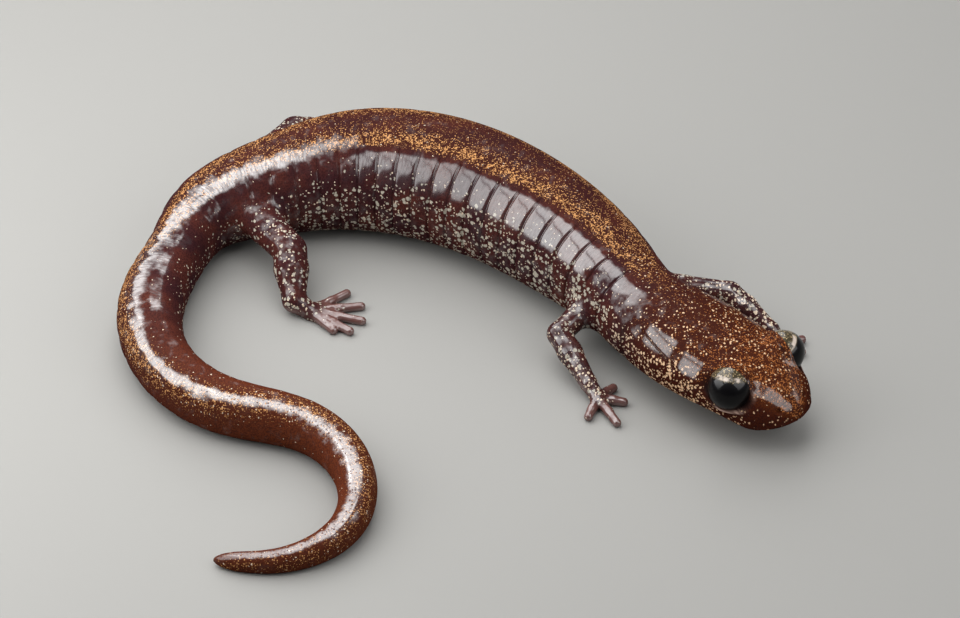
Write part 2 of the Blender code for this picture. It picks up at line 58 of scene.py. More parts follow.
# %% The pose, as points on the floor under the midline, and the origin among them
POSE = (
    ("snout", 24.7, -16.7),
    ("eyes", 21.5, -13.35),
    ("jaw", 17.95, -9.9),
    ("neck", 13.2, -4.95),
    ("shoulders", 10.7, -1.0),
    ("chest", 7.5, 3.1),
    ("ribs", 2.4, 7.8),
    ("belly", -4.0, 11.4),
    ("flank", -11.4, 12.6),
    ("loin", -17.1, 11.4),
    ("vent", -22.75, 8.55),
    ("tail root", -24.75, 4.2),
    ("tail bend", -26.45, -2.5),
    ("tail quarter", -25.0, -9.3),
    ("tail middle", -19.9, -14.2),
    ("tail turn", -13.6, -16.4),
    ("tail end", -9.6, -21.8),
    ("tail point", -10.6, -27.8),
    ("tail hook", -14.9, -30.4),
    ("tip", -20.1, -30.0),
)
MIDDLE = (-1.447, -3.08)
BODY_LENGTH = 116.6

# %% The body's sizes: name, distance from the snout, half width, height of the back and underside
STATIONS = (
    ("snout", 0.0, 2.95, 4.7, 2.2),
    ("nostrils", 1.4, 3.25, 5.15, 1.85),
    ("eyes", 4.6, 4.1, 6.25, 1.5),
    ("mouth corner", 8.4, 4.6, 6.75, 1.25),
    ("jaw", 11.6, 4.6, 7.0, 1.1),
    ("throat fold", 15.0, 4.1, 7.15, 0.9),
    ("neck", 18.0, 3.75, 7.35, 0.55),
    ("shoulders", 21.5, 4.1, 8.0, 0.2),
    ("chest", 26.5, 4.7, 8.9, -0.08),
    ("ribs", 33.0, 5.15, 9.6, -0.12),
    ("belly", 41.0, 5.3, 9.8, -0.12),
    ("flank", 47.5, 4.9, 9.3, -0.12),
    ("loin", 52.5, 4.2, 8.3, -0.1),
    ("hips", 56.5, 3.6, 7.3, -0.1),
    ("vent", 60.5, 3.0, 6.2, -0.1),
    ("tail root", 64.5, 2.5, 5.35, -0.08),
    ("tail bend", 70.5, 2.65, 5.2, -0.08),
    ("tail quarter", 79.0, 2.4, 4.75, -0.08),
    ("tail middle", 87.0, 2.15, 4.3, -0.08),
    ("tail turn", 95.0, 1.85, 3.75, -0.08),
    ("tail end", 102.0, 1.5, 3.05, -0.08),
    ("tail point", 109.0, 1.05, 2.15, -0.06),
    ("tip", 116.6, 0.6, 1.2, -0.05),
)
SNOUT_ROUNDING = 2.6
TIP_ROUNDING = 2.2
SQUARENESS, MIDLINE_STEPS = 2.25, 4001
WIDEST_AT_LIPS, WIDEST_BEHIND, LIPS_TO_EYES = 0.26, 0.44, 6.0
JAW_RECESS, JAW_RECESS_LENGTH, LIP_SINES = 0.4, 3.0, (0.34, 0.5)


# %% Curves through points
def natural_spline(xs, ys):
    """A function that runs smoothly through the points: cubics whose bend is equal where they meet."""
    xs, ys = np.asarray(xs, float), np.asarray(ys, float)
    step, size = np.diff(xs), len(xs)
    slope = np.diff(ys) / step
    system, known = np.eye(size), np.zeros(size)
    for i in range(1, size - 1):
        system[i, i - 1 : i + 2] = step[i - 1], 2 * (step[i - 1] + step[i]), step[i]
        known[i] = 6 * (slope[i] - slope[i - 1])
    bend = np.linalg.solve(system, known)

    def value(x):
        x = np.clip(x, xs[0], xs[-1])
        i = np.clip(np.searchsorted(xs, x) - 1, 0, size - 2)
        low, high = x - xs[i], xs[i + 1] - x
        return (
            (bend[i] * high**3 + bend[i + 1] * low**3) / (6 * step[i])
            + (ys[i] / step[i] - bend[i] * step[i] / 6) * high
            + (ys[i + 1] / step[i] - bend[i + 1] * step[i] / 6) * low
        )

    return value


def ramp(value, low, high):
    """0 below low, 1 above high and the smooth step 3tt - 2ttt between."""
    t = np.clip((value - low) / (high - low), 0.0, 1.0)
    return t * t * (3 - 2 * t)


def bump(distance, width):
    """A bell curve: 1 at no distance, exp of minus the square of distance over width."""
    return np.exp(-((distance / width) ** 2))


def mix(first, second, share):
    """The first value plus a share of the way to the second."""
    return first + (second - first) * share


# %% The midline and the sizes along it
def midline():
    """Distances from the snout with x, y and heading at each, measured along the splined pose."""
    points = np.array([row[1:] for row in POSE]) - MIDDLE
    marks = np.concatenate([[0.0], np.cumsum(np.hypot(*np.diff(points, axis=0).T))])
    steps = np.linspace(0.0, marks[-1], MIDLINE_STEPS)
    x, y = (natural_spline(marks, points[:, axis])(steps) for axis in (0, 1))
    along = np.concatenate([[0.0], np.cumsum(np.hypot(np.diff(x), np.diff(y)))])
    heading = np.unwrap(np.arctan2(np.gradient(y, steps), np.gradient(x, steps)))
    return along * BODY_LENGTH / along[-1], x, y, heading


WALK, MIDLINE_X, MIDLINE_Y, MIDLINE_HEADING = midline()
DISTANCES = [row[1] for row in STATIONS]
HALF_WIDTH, BACK, UNDERSIDE = (
    natural_spline(DISTANCES, [row[column] for row in STATIONS]) for column in (2, 3, 4)
)
print("The midline turns through", round(math.degrees(np.ptp(MIDLINE_HEADING))), "degrees")

# %% [markdown]
# ## The body as a function
#
# Head, trunk and tail are one tube. Its section is a superellipse, a circle pressed a little towards
# a square, whose width and height change along the animal. A subdivision cage could be pushed to the
# same form, but a function of distance and angle lets us ask two questions that we need later: where
# is the skin at this distance and angle, and which distance and angle does this point belong to?


# %% Where the skin is
def section(along):
    """Half width, back, widest line and underside: the splined sizes times a round end at the snout
    and the tip, the square root of 1 - (1 - t)(1 - t)."""
    nose = np.sqrt(np.clip(1 - (1 - np.clip(along / SNOUT_ROUNDING, 0, 1)) ** 2, 0, 1))
    left = np.clip((BODY_LENGTH - along) / TIP_ROUNDING, 0, 1)
    full = nose * np.sqrt(np.clip(1 - (1 - left) ** 2, 0, 1))
    back, under = BACK(along), UNDERSIDE(along)
    widest = mix(WIDEST_AT_LIPS, WIDEST_BEHIND, ramp(along, 0, LIPS_TO_EYES))
    middle = under + widest * (back - under)
    width = HALF_WIDTH(along) * full
    return width, middle + (back - middle) * full, middle, middle - (middle - under) * full


def beside_midline(along, out, height):
    """A point out to the animal's right of the midline by so much, at a height above the floor."""
    heading = np.interp(along, WALK, MIDLINE_HEADING)
    x = np.interp(along, WALK, MIDLINE_X) - out * np.sin(heading)
    y = np.interp(along, WALK, MIDLINE_Y) + out * np.cos(heading)
    return np.stack(np.broadcast_arrays(x, y, height), axis=-1)


def body_point(along, angle):
    """The superellipse: out and up go as the 2 / squareness power of the angle's cosine and sine.
    Angle 0 is the animal's right side and 90 degrees the back. The lower jaw stays back a little."""
    width, back, middle, under = section(along)
    power = 2 / SQUARENESS
    out = width * np.sign(np.cos(angle)) * np.abs(np.cos(angle)) ** power
    height = np.where(np.sin(angle) > 0, back - middle, under - middle)
    points = beside_midline(along, out, middle + height * np.abs(np.sin(angle)) ** power)
    recess = JAW_RECESS * ramp(JAW_RECESS_LENGTH - along, 0, JAW_RECESS_LENGTH)
    recess = recess * ramp(-np.sin(angle), *LIP_SINES)
    heading = np.interp(along, WALK, MIDLINE_HEADING)
    points[..., 0] += recess * np.cos(heading)
    points[..., 1] += recess * np.sin(heading)
    return points


# %% Which distance and angle a point belongs to
COARSE_STEP, BLOCK, REFINEMENTS = 8, 8000, 6


def nearest_along(points):
    """The distance along the midline nearest to each point, first from a coarse search in blocks,
    then by steps along the midline's own direction."""
    track, walk = np.stack([MIDLINE_X, MIDLINE_Y], axis=-1)[::COARSE_STEP], WALK[::COARSE_STEP]
    along = np.empty(len(points))
    for start in range(0, len(points), BLOCK):
        away = points[start : start + BLOCK, None, :2] - track[None]
        along[start : start + BLOCK] = walk[np.einsum("ijk,ijk->ij", away, away).argmin(axis=1)]
    for _ in range(REFINEMENTS):
        heading = np.interp(along, WALK, MIDLINE_HEADING)
        ahead = (points[:, 0] - np.interp(along, WALK, MIDLINE_X)) * np.cos(heading)
        ahead += (points[:, 1] - np.interp(along, WALK, MIDLINE_Y)) * np.sin(heading)
        along = np.clip(along + ahead, 0.0, BODY_LENGTH)
    return along


def body_coordinates(points):
    """Distance along, angle round, signed distance from the skin and the direction out of it. A
    point lies on a superellipse g times the skin's own, so it is off the skin by its reach times
    1 - 1/g."""
    along = nearest_along(points)
    heading = np.interp(along, WALK, MIDLINE_HEADING)
    width, back, middle, under = section(along)
    out = (points[:, 1] - np.interp(along, WALK, MIDLINE_Y)) * np.cos(heading)
    out -= (points[:, 0] - np.interp(along, WALK, MIDLINE_X)) * np.sin(heading)
    rise = points[:, 2] - middle
    tall = np.maximum(np.where(rise > 0, back - middle, middle - under), 1e-3)
    across, up = np.abs(out) / np.maximum(width, 1e-3), np.abs(rise) / tall
    growth = np.maximum((across**SQUARENESS + up**SQUARENESS) ** (1 / SQUARENESS), 1e-3)
    angle = np.arctan2(np.sign(rise) * up ** (SQUARENESS / 2), np.sign(out) * across ** (SQUARENESS / 2))
    off = np.hypot(out, rise) * (1 - 1 / growth)
    lean = np.sign(out) * across ** (SQUARENESS - 1) / np.maximum(width, 1e-3)
    lift = np.sign(rise) * up ** (SQUARENESS - 1) / tall
    size = np.maximum(np.hypot(lean, lift), 1e-9)
    lean, lift = lean / size, lift / size
    outward = np.stack([-lean * np.sin(heading), lean * np.cos(heading), lift], axis=-1)
    return along, angle, off, outward


# %% [markdown]
# ## A grid for the body
#
# The tube becomes a mesh by asking for its points on a grid: rings along the body, and angles round
# each ring. The rings lie closest at the snout and round the eyes, where the small forms are, and
# widest on the tail. Round the head the angles crowd towards the eyes for the same reason.

# %% Spacing of the rings and of the angles round them
RING_SPACING = ((0.0, 8.0, 16.0, 60.0, 70.0, BODY_LENGTH), (0.1, 0.1, 0.18, 0.24, 0.3, 0.36))
FIRST_GROOVE, LAST_GROOVE, COSTAL_GROOVES, SHOULDER_FOLDS = 24.1, 56.9, 17, 3
GROOVE_PITCH = (LAST_GROOVE - FIRST_GROOVE) / (COSTAL_GROOVES - 1)
GROOVE_CROWDING, GROOVE_CROWD_WIDTH = 2.2, 0.22
SIDES = 104
EYE_SIDE_ANGLE, EYE_SIDE_SPREAD, EYE_CROWDING, CROWDED_TO = 38.0, 26.0, 1.5, (7.0, 15.0)
NOSE_RINGS, TIP_RINGS, FINE_STEPS, FINE_ANGLES = 34, 12, 6001, 7201


def from_groove(along):
    """Signed distance from the nearest costal groove."""
    number = np.clip(np.round((along - FIRST_GROOVE) / GROOVE_PITCH), -SHOULDER_FOLDS, COSTAL_GROOVES - 1)
    return along - FIRST_GROOVE - number * GROOVE_PITCH


def ring_distances():
    """Distances of the rings: equal steps of arc over the round ends, and between them steps of the
    spacing above, read off a running sum of its inverse. They crowd at the costal grooves."""
    turn = np.linspace(0, np.pi / 2, NOSE_RINGS)[1:]
    nose = SNOUT_ROUNDING * (1 - np.cos(turn))
    fine = np.linspace(SNOUT_ROUNDING, BODY_LENGTH - TIP_ROUNDING, FINE_STEPS)
    crowd = 1 + GROOVE_CROWDING * bump(from_groove(fine[1:]), GROOVE_CROWD_WIDTH)
    count = np.concatenate([[0.0], np.cumsum(np.diff(fine) * crowd / np.interp(fine[1:], *RING_SPACING))])
    middle = np.interp(np.linspace(0, count[-1], int(count[-1]) + 1), count, fine)[1:]
    turn = np.linspace(np.pi / 2, 0, TIP_RINGS)[1:-1]
    return np.concatenate([nose, middle, BODY_LENGTH - TIP_ROUNDING * (1 - np.cos(turn))])


def ring_angles(along):
    """Angles round each ring: even ones behind the head, and crowded ones round the eyes, which are
    read off a running sum of their density."""
    even = np.linspace(-0.5 * np.pi, 1.5 * np.pi, SIDES, endpoint=False)
    fine = np.linspace(-90, 270, FINE_ANGLES)
    side = np.where(fine < 90, fine, 180 - fine)
    density = 1 + EYE_CROWDING * bump(side - EYE_SIDE_ANGLE, EYE_SIDE_SPREAD)
    count = np.concatenate([[0.0], np.cumsum(density[1:])])
    crowded = np.radians(np.interp(np.linspace(0, count[-1], SIDES, endpoint=False), count, fine))
    share = 1 - ramp(along, *CROWDED_TO)
    return even + (crowded - even) * share[:, None]


# %% From arrays to meshes
def mesh_from(name, points, quads, triangles=()):
    """A mesh object from arrays of corners and of faces of four and three corners."""
    mesh = bpy.data.meshes.new(name)
    faces = [tuple(face) for part in (quads, triangles) for face in np.asarray(part).tolist()]
    mesh.from_pydata(np.asarray(points, float).tolist(), [], faces)
    mesh.validate()
    made = bpy.data.objects.new(name, mesh)
    bpy.context.scene.collection.objects.link(made)
    return made


def tube_faces(rows, columns):
    """Quads between neighbouring rings of a tube whose rings are closed."""
    row, column = np.meshgrid(np.arange(rows - 1), np.arange(columns), indexing="ij")
    after = (column + 1) % columns
    first, second = row * columns, (row + 1) * columns
    return np.stack([first + column, first + after, second + after, second + column], axis=-1).reshape(-1, 4)


def end_fan(ring_start, columns, pole, turned):
    """Triangles that draw a ring in to one point."""
    column = np.arange(columns)
    here, after = ring_start + column, ring_start + (column + 1) % columns
    corners = (after, here) if turned else (here, after)
    return np.stack([*corners, np.full(columns, pole)], axis=-1)


def body_tube():
    """The whole body from the snout to the tip of the tail, in millimetres."""
    along = ring_distances()
    rings = body_point(along[:, None], ring_angles(along))
    points = rings.reshape(-1, 3)
    ends = body_point(np.array([0.0, BODY_LENGTH]), np.zeros(2))
    rows, columns = rings.shape[:2]
    fans = [
        end_fan(0, columns, len(points), True),
        end_fan((rows - 1) * columns, columns, len(points) + 1, False),
    ]
    return mesh_from("body tube", np.vstack([points, ends]), tube_faces(rows, columns), np.vstack(fans))


body = body_tube()
print("The body's tube has", len(body.data.polygons), "faces")

# %% [markdown]
# ## Legs and toes
#
# Each leg is a chain of round cones: straight lengths whose radius runs evenly from one joint to the
# next. The distance to such a chain is easy to work out, and blending the distances of its cones
# rounds every joint and webs the toes. Metaballs would blend too, but they give no say over radius
# and resolution. So we string beads along the chains, let the Remesh modifier melt them into one
# even surface, and then move every corner of it onto the blended distance of zero.

# %% The legs: where each leaves the body, its joints, its radii and its toes
LEGS = {
    "front right": {
        "root": (20.6, 1, 3.3),
        "knee": (6.3, -6.3, 2.7),
        "ankle": (8.6, -10.4, 1.05),
        "sole": (9.3, -11.5, 0.5),
        "toes": ((8.4, -13.9), (10.9, -14.6), (11.7, -11.9), (10.8, -9.9)),
        "size": "front",
    },
    "front left": {
        "root": (20.6, -1, 3.3),
        "knee": (20.1, -1.2, 2.7),
        "ankle": (23.4, -3.9, 1.05),
        "sole": (24.1, -5.0, 0.5),
        "toes": ((26.2, -4.1), (26.1, -5.9), (24.9, -7.2), (23.3, -7.0)),
        "size": "front",
    },
    "hind right": {
        "root": (56.8, 1, 3.4),
        "knee": (-15.5, 3.6, 3.2),
        "ankle": (-15.05, -0.3, 1.15),
        "sole": (-13.7, -0.9, 0.5),
        "toes": ((-11.6, -3.35), (-10.2, -3.4), (-9.2, -2.0), (-9.3, 0.0), (-10.6, 1.8)),
        "size": "hind",
    },
    "hind left": {
        "root": (56.8, -1, 3.4),
        "knee": (-15.6, 19.5, 3.1),
        "ankle": (-12.7, 21.6, 1.15),
        "sole": (-11.5, 22.3, 0.5),
        "toes": ((-11.9, 24.9), (-10.1, 25.1), (-8.2, 24.0), (-7.7, 22.2), (-8.9, 20.7)),
        "size": "hind",
    },
}

# Radii at the root, the middle of the upper leg, the knee, the swell of the shin, the ankle and sole
LEG_RADII = {
    "front": (1.25, 1.0, 0.93, 0.98, 0.66, 0.55),
    "hind": (1.85, 1.5, 1.36, 1.4, 0.95, 0.7),
}
ROOT_DEPTH, SHIN_SWELL_AT, TOE_ROOT_SHARE = 0.45, 0.38, 0.8
TOE_HEIGHT, TOE_RADIUS, TOE_TIP_RADIUS, KNUCKLE_AT, KNUCKLE_LIFT = 0.33, 0.34, 0.35, 0.52, 0.1
LEG_BLEND, BEAD_SPACING, LEG_VOXEL = 0.1, 0.3, {"front": 0.14, "hind": 0.16}


# %% The chains of round cones
def in_place(x, y, z):
    """A point of the pose's frame in the part's own, whose origin is under the animal's middle."""
    return np.array([x - MIDDLE[0], y - MIDDLE[1], z])


def leg_cones(leg):
    """The cones of one leg as rows of start, end, start radius and end radius, with toes last."""
    along, side, height = leg["root"]
    root = beside_midline(along, side * float(HALF_WIDTH(along)) * ROOT_DEPTH, height)
    knee, ankle, sole = (in_place(*leg[name]) for name in ("knee", "ankle", "sole"))
    thigh, swell = (root + knee) / 2, knee + SHIN_SWELL_AT * (ankle - knee)
    joints = (root, thigh, knee, swell, ankle, sole)
    radii = LEG_RADII[leg["size"]]
    cones = [(a, b, ra, rb) for a, b, ra, rb in zip(joints, joints[1:], radii, radii[1:])]
    for x, y in leg["toes"]:
        tip = in_place(x, y, TOE_HEIGHT)
        knuckle = sole + KNUCKLE_AT * (tip - sole)
        knuckle[2] = TOE_HEIGHT + KNUCKLE_LIFT
        end = tip - (tip - sole) / np.linalg.norm(tip - sole) * TOE_TIP_RADIUS
        cones.append((sole, knuckle, radii[-1] * TOE_ROOT_SHARE, TOE_RADIUS))
        cones.append((knuckle, end, TOE_RADIUS, TOE_TIP_RADIUS))
    return cones


def cone_distance(points, cone):
    """Signed distance to a round cone and the direction away from it: the distance to the nearest
    point of its axis, less the radius there."""
    start, end, start_radius, end_radius = cone
    axis = end - start
    share = np.clip((points - start) @ axis / (axis @ axis), 0.0, 1.0)
    away = points - (start + share[:, None] * axis)
    length = np.maximum(np.linalg.norm(away, axis=1), 1e-9)
    return length - (start_radius + share * (end_radius - start_radius)), away / length[:, None]


def leg_field(points, cones):
    """Smoothly blended distance: minus the blend times the log of the sum of exp(-distance / blend),
    with the direction out of it averaged by the same weights."""
    distances, directions = zip(*(cone_distance(points, cone) for cone in cones))
    distances, directions = np.array(distances), np.array(directions)
    least = distances.min(axis=0)
    weights = np.exp(-(distances - least) / LEG_BLEND)
    total = weights.sum(axis=0)
    return least - LEG_BLEND * np.log(total), np.einsum("ij,ijk->jk", weights / total, directions)


# %% Beads, melted into one surface and drawn onto the field
LEG_STEPS, LEG_LEAST_SLOPE = 4, 0.2


def bead_grid(sides=10, rows=7):
    """Corners and faces of one small sphere: rings of sine and cosine between two poles."""
    fall = np.linspace(0, np.pi, rows + 1)[1:-1, None]
    turn = np.arange(sides) * 2 * np.pi / sides
    rings = np.stack([np.sin(fall) * np.cos(turn), np.sin(fall) * np.sin(turn), np.cos(fall) + 0 * turn], -1)
    points = np.vstack([rings.reshape(-1, 3), [(0, 0, 1), (0, 0, -1)]])
    caps = [
        end_fan(0, sides, len(points) - 2, False),
        end_fan((rows - 2) * sides, sides, len(points) - 1, True),
    ]
    return points, tube_faces(rows - 1, sides)[:, ::-1], np.vstack(caps)


def beads_along(cones):
    """Centres and radii of beads strung along every cone, close enough to overlap deeply."""
    centres, radii = [], []
    for start, end, start_radius, end_radius in cones:
        count = int(np.linalg.norm(end - start) / (BEAD_SPACING * min(start_radius, end_radius))) + 2
        share = np.linspace(0, 1, count)
        centres.append(start + share[:, None] * (end - start))
        radii.append(start_radius + share * (end_radius - start_radius))
    return np.vstack(centres), np.concatenate(radii)


def coordinates(mesh):
    """The mesh's corners as an array."""
    points = np.empty(len(mesh.vertices) * 3)
    mesh.vertices.foreach_get("co", points)
    return points.reshape(-1, 3)


def keep_result(made):
    """Applies an object's modifiers and keeps the result as its mesh."""
    graph = bpy.context.evaluated_depsgraph_get()
    result = bpy.data.meshes.new_from_object(made.evaluated_get(graph))
    made.modifiers.clear()
    made.data = result


def leg_surface(name, leg):
    """One leg from its root inside the body to the tips of its toes, in millimetres. After the melt
    each corner steps back along the field's slope by the distance over the slope squared."""
    cones = leg_cones(leg)
    centres, radii = beads_along(cones)
    corners, quads, triangles = bead_grid()
    points = centres[:, None] + radii[:, None, None] * corners
    shift = np.arange(len(centres))[:, None, None] * len(corners)
    quads, triangles = (quads + shift).reshape(-1, 4), (triangles + shift).reshape(-1, 3)
    made = mesh_from(name, points.reshape(-1, 3), quads, triangles)
    melt = made.modifiers.new("melt", "REMESH")
    melt.mode = "VOXEL"
    melt.voxel_size = LEG_VOXEL[leg["size"]]
    keep_result(made)
    points = coordinates(made.data)
    for _ in range(LEG_STEPS):
        off, outward = leg_field(points, cones)
        steep = np.maximum((outward**2).sum(axis=1), LEG_LEAST_SLOPE)
        points -= outward * (off / steep)[:, None]
    made.data.vertices.foreach_set("co", points.ravel())
    made.data.update()
    return made


legs = [leg_surface(name, leg) for name, leg in LEGS.items()]
print("The legs have", [len(leg.data.polygons) for leg in legs], "faces")

# %% [markdown]
# ## One skin
#
# A Boolean union joins the legs to the body, which leaves a crease where they meet. The real skin
# runs over in a soft fillet. We find it with the same kind of blend as before: near a leg, each
# corner is moved to where the smooth minimum of the two distances is zero, with some smoothing
# between the moves so that the mesh stays even. The swellings over the eyes join in the same way.

# %% Join the legs to the body
for leg in legs:
    join = body.modifiers.new("join", "BOOLEAN")
    join.operation = "UNION"
    join.solver = "MANIFOLD"
    join.object = leg
keep_result(body)
for leg in legs:
    bpy.data.objects.remove(leg)
print("Joined, the skin has", len(body.data.polygons), "faces and", len(body.data.vertices), "corners")

# %% The blended distance of body, legs and lids
ARMPIT_BLEND, LID_BLEND = 1.1, 0.7
EYE_AT, EYE_OUT, EYE_HEIGHT, EYE_RADIUS = 4.6, 3.0, 5.05, 1.76
EYE_LIFT, EYE_AHEAD = 0.45, 0.3
LID_RADIUS = 1.84


def eye_frame(side):
    """The middle of an eye and three directions from it: ahead along its rim, up, and its look."""
    heading = np.interp(EYE_AT, WALK, MIDLINE_HEADING)
    ahead = np.array([-math.cos(heading), -math.sin(heading), 0.0])
    out = np.array([-math.sin(heading), math.cos(heading), 0.0]) * side
    look = out + np.array([0, 0, EYE_LIFT]) + ahead * EYE_AHEAD
    look /= np.linalg.norm(look)
    ahead = ahead - look * (ahead @ look)
    ahead /= np.linalg.norm(ahead)
    up = np.cross(look, ahead) * side
    return beside_midline(EYE_AT, side * EYE_OUT, EYE_HEIGHT), ahead, up, look


def smooth_least(one, one_way, other, other_way, blend):
    """The smaller of two distances with the corner rounded off: between m and 1 - m of each, less
    blend m (1 - m), where m goes from 0 to 1 over the blend. Its direction is the same mix."""
    share = np.clip(0.5 + 0.5 * (other - one) / blend, 0.0, 1.0)
    value = other + share * (one - other) - blend * share * (1 - share)
    return value, other_way + share[:, None] * (one_way - other_way)


ALL_CONES = [cone for leg in LEGS.values() for cone in leg_cones(leg)]


def skin_field(points):
    """Distance from the whole skin and the direction out of it."""
    _, _, value, way = body_coordinates(points)
    legs_off, legs_way = leg_field(points, ALL_CONES)
    value, way = smooth_least(value, way, legs_off, legs_way, ARMPIT_BLEND)
    for side in (1, -1):
        away = points - eye_frame(side)[0]
        length = np.maximum(np.linalg.norm(away, axis=1), 1e-9)
        lid, lid_way = length - LID_RADIUS, away / length[:, None]
        value, way = smooth_least(value, way, lid, lid_way, LID_BLEND)
    return value, way


# %% Draw the joins onto it
JOIN_REACH, NEAR_LEGS, NEAR_EYES = (0.5, 1.3), 2.5, 3.6
SKIN_STEPS, SKIN_LEAST_SLOPE, JOIN_SMOOTHING = 10, 0.25, 0.6


def edge_pairs(mesh):
    """The mesh's edges as pairs of corners."""
    pairs = np.empty(len(mesh.edges) * 2, np.int32)
    mesh.edges.foreach_get("vertices", pairs)
    return pairs.reshape(-1, 2)


def smoothed(points, pairs, share):
    """Moves each corner by a share of the way to the middle of its neighbours."""
    total, count = np.zeros_like(points), np.bincount(pairs.ravel(), minlength=len(points))
    for axis in range(3):
        total[:, axis] += np.bincount(pairs[:, 0], points[pairs[:, 1], axis], len(points))
        total[:, axis] += np.bincount(pairs[:, 1], points[pairs[:, 0], axis], len(points))
    middle = total / np.maximum(count, 1)[:, None]
    return points + np.reshape(share, (-1, 1)) * (middle - points)


def draw_onto_field(points, pairs):
    """Alternates smoothing near the joins with steps onto the blended distance of zero."""
    _, _, body_off, _ = body_coordinates(points)
    legs_off, _ = leg_field(points, ALL_CONES)
    join = (1 - ramp(np.abs(body_off), *JOIN_REACH)) * (1 - ramp(np.abs(legs_off), *JOIN_REACH))
    eyes = np.min([np.linalg.norm(points - eye_frame(side)[0], axis=1) for side in (1, -1)], axis=0)
    near = np.flatnonzero((np.abs(legs_off) < NEAR_LEGS) | (eyes < NEAR_EYES))
    for _ in range(SKIN_STEPS):
        points = smoothed(points, pairs, JOIN_SMOOTHING * join)
        off, way = skin_field(points[near])
        steep = np.maximum((way**2).sum(axis=1), SKIN_LEAST_SLOPE)
        points[near] -= way * (off / steep)[:, None]
    return points


skin_points = draw_onto_field(coordinates(body.data), edge_pairs(body.data))
body.data.vertices.foreach_set("co", skin_points.ravel())
body.data.update()
print("Drew", len(skin_points), "corners onto one skin")

# %% [markdown]
# ## Where the back's band lies
#
# The bronze band isn't centred on our tube, because the real animal rolls a little as it bends. We
# could paint a mask for it, but the costal grooves have to stop at its edge too, so we need the edge
# as a number. We follow the band's middle and its half width as angles that change along the body.
# From them comes, for every corner of the skin, its distance in millimetres inside the band's edge.

# %% The band: its middle and half width, as angles at distances from the snout
BAND_MIDDLE = (
    (0.0, 12.0, 15.0, 17.5, 21.0, 29.0, 33.0, 37.0, 40.0, 43.0, 60.0, 64.0, 68.0, 74.0, 85.0, 116.6),
    (90.0, 92.0, 100.0, 104.0, 106.5, 107.0, 103.5, 103.0, 98.0, 94.0, 92.0, 104.0, 124.0, 128.0, 118.0, 100),
)
BAND_HALF_WIDTH = (
    (0.0, 14.0, 16.5, 19.0, 21.4, 26.0, 30.3, 34.4, 38.5, 42.5, 48.5, 52.0, 58.0, 64.0, 70.0, 85.0, 116.6),
    (12.0, 14.0, 22.0, 26.0, 31.0, 35.0, 39.0, 39.5, 38.0, 32.0, 34.5, 33.0, 32.0, 30.0, 30.0, 34.0, 40.0),
)


def skin_map(points):
    """For each corner: distance along, angle round, steepness, which is the angle above the side on
    either flank, distances inside the band's edge and from its middle, and how far off the body and
    the legs are. An angle becomes a distance by the mean of half width and half height."""
    along, angle, off, _ = body_coordinates(points)
    around = np.degrees(angle)
    steep = np.degrees(np.arcsin(np.clip(np.sin(angle), -1, 1)))
    from_middle = (around - np.interp(along, *BAND_MIDDLE) + 180) % 360 - 180
    width, back, _, under = section(along)
    per_degree = np.radians(0.5 * (width + 0.5 * (back - under)))
    inside = (np.interp(along, *BAND_HALF_WIDTH) - np.abs(from_middle)) * per_degree
    legs_off, _ = leg_field(points, ALL_CONES)
    return {
        "along": along,
        "around": around,
        "steep": steep,
        "inside": inside,
        "from_middle": from_middle * per_degree,
        "body_off": off,
        "legs_off": legs_off,
    }


# %% [markdown]
# ## Folds and grooves
#
# Seventeen costal grooves part the flank into blocks, as deep as the ribs between them. They could
# be painted as bump, but the wet skin mirrors the lamps, and only real form breaks a mirror image
# convincingly. So they are pressed into the mesh: each is a narrow line in a shallow, wider dip,
# which leaves the blocks softly rounded. Three more folds lead over to the shoulder.

# %% Folds of trunk and tail: depth, width, and where they fade
GROOVE_LINE, GROOVE_LINE_WIDTH, GROOVE_DIP, GROOVE_DIP_WIDTH = 0.14, 0.1, 0.03, 0.36
GROOVE_INTO_BAND, GROOVE_BELOW, GROOVE_FADES_BELOW = (-0.35, 0.45), 0.4, (-70, -20)
TAIL_FOLD_PITCH, TAIL_FOLD_DEPTH, TAIL_FOLD_WIDTH = 2.0, 0.07, 0.35
TAIL_FOLDS_FROM, TAIL_FOLDS_TO = (LAST_GROOVE + 1.0, LAST_GROOVE + 4.0), (76.0, 90.0)
RING_PITCH, RING_DEPTH, RING_COUNT, RING_WANDER = 0.5, 0.016, 300, ((0.3, 3), (0.15, 7))
RINGS_FROM, RINGS_FADE, RINGS_FADE_BY = (46.0, 54.0), (84.0, 112.0), 0.6
THROAT_FOLD_AT, THROAT_FOLD_DEPTH, THROAT_FOLD_WIDTH, THROAT_FOLD_TO = 14.8, 0.34, 0.2, (12, 48)


def costal_grooves(m):
    """A line and a dip at each groove, fading out just inside the band and under the belly."""
    gap = from_groove(m["along"])
    press = GROOVE_LINE * bump(gap, GROOVE_LINE_WIDTH) + GROOVE_DIP * bump(gap, GROOVE_DIP_WIDTH)
    below = mix(GROOVE_BELOW, 1, ramp(m["steep"], *GROOVE_FADES_BELOW))
    return press * (1 - ramp(m["inside"], *GROOVE_INTO_BAND)) * below


def tail_folds(m):
    """Shallow rings on the tail that carry the trunk's grooves on and die out."""
    gap = (m["along"] - LAST_GROOVE) / TAIL_FOLD_PITCH
    gap = (gap - np.round(gap)) * TAIL_FOLD_PITCH
    here = ramp(m["along"], *TAIL_FOLDS_FROM) * (1 - ramp(m["along"], *TAIL_FOLDS_TO))
    return TAIL_FOLD_DEPTH * bump(gap, TAIL_FOLD_WIDTH) * here


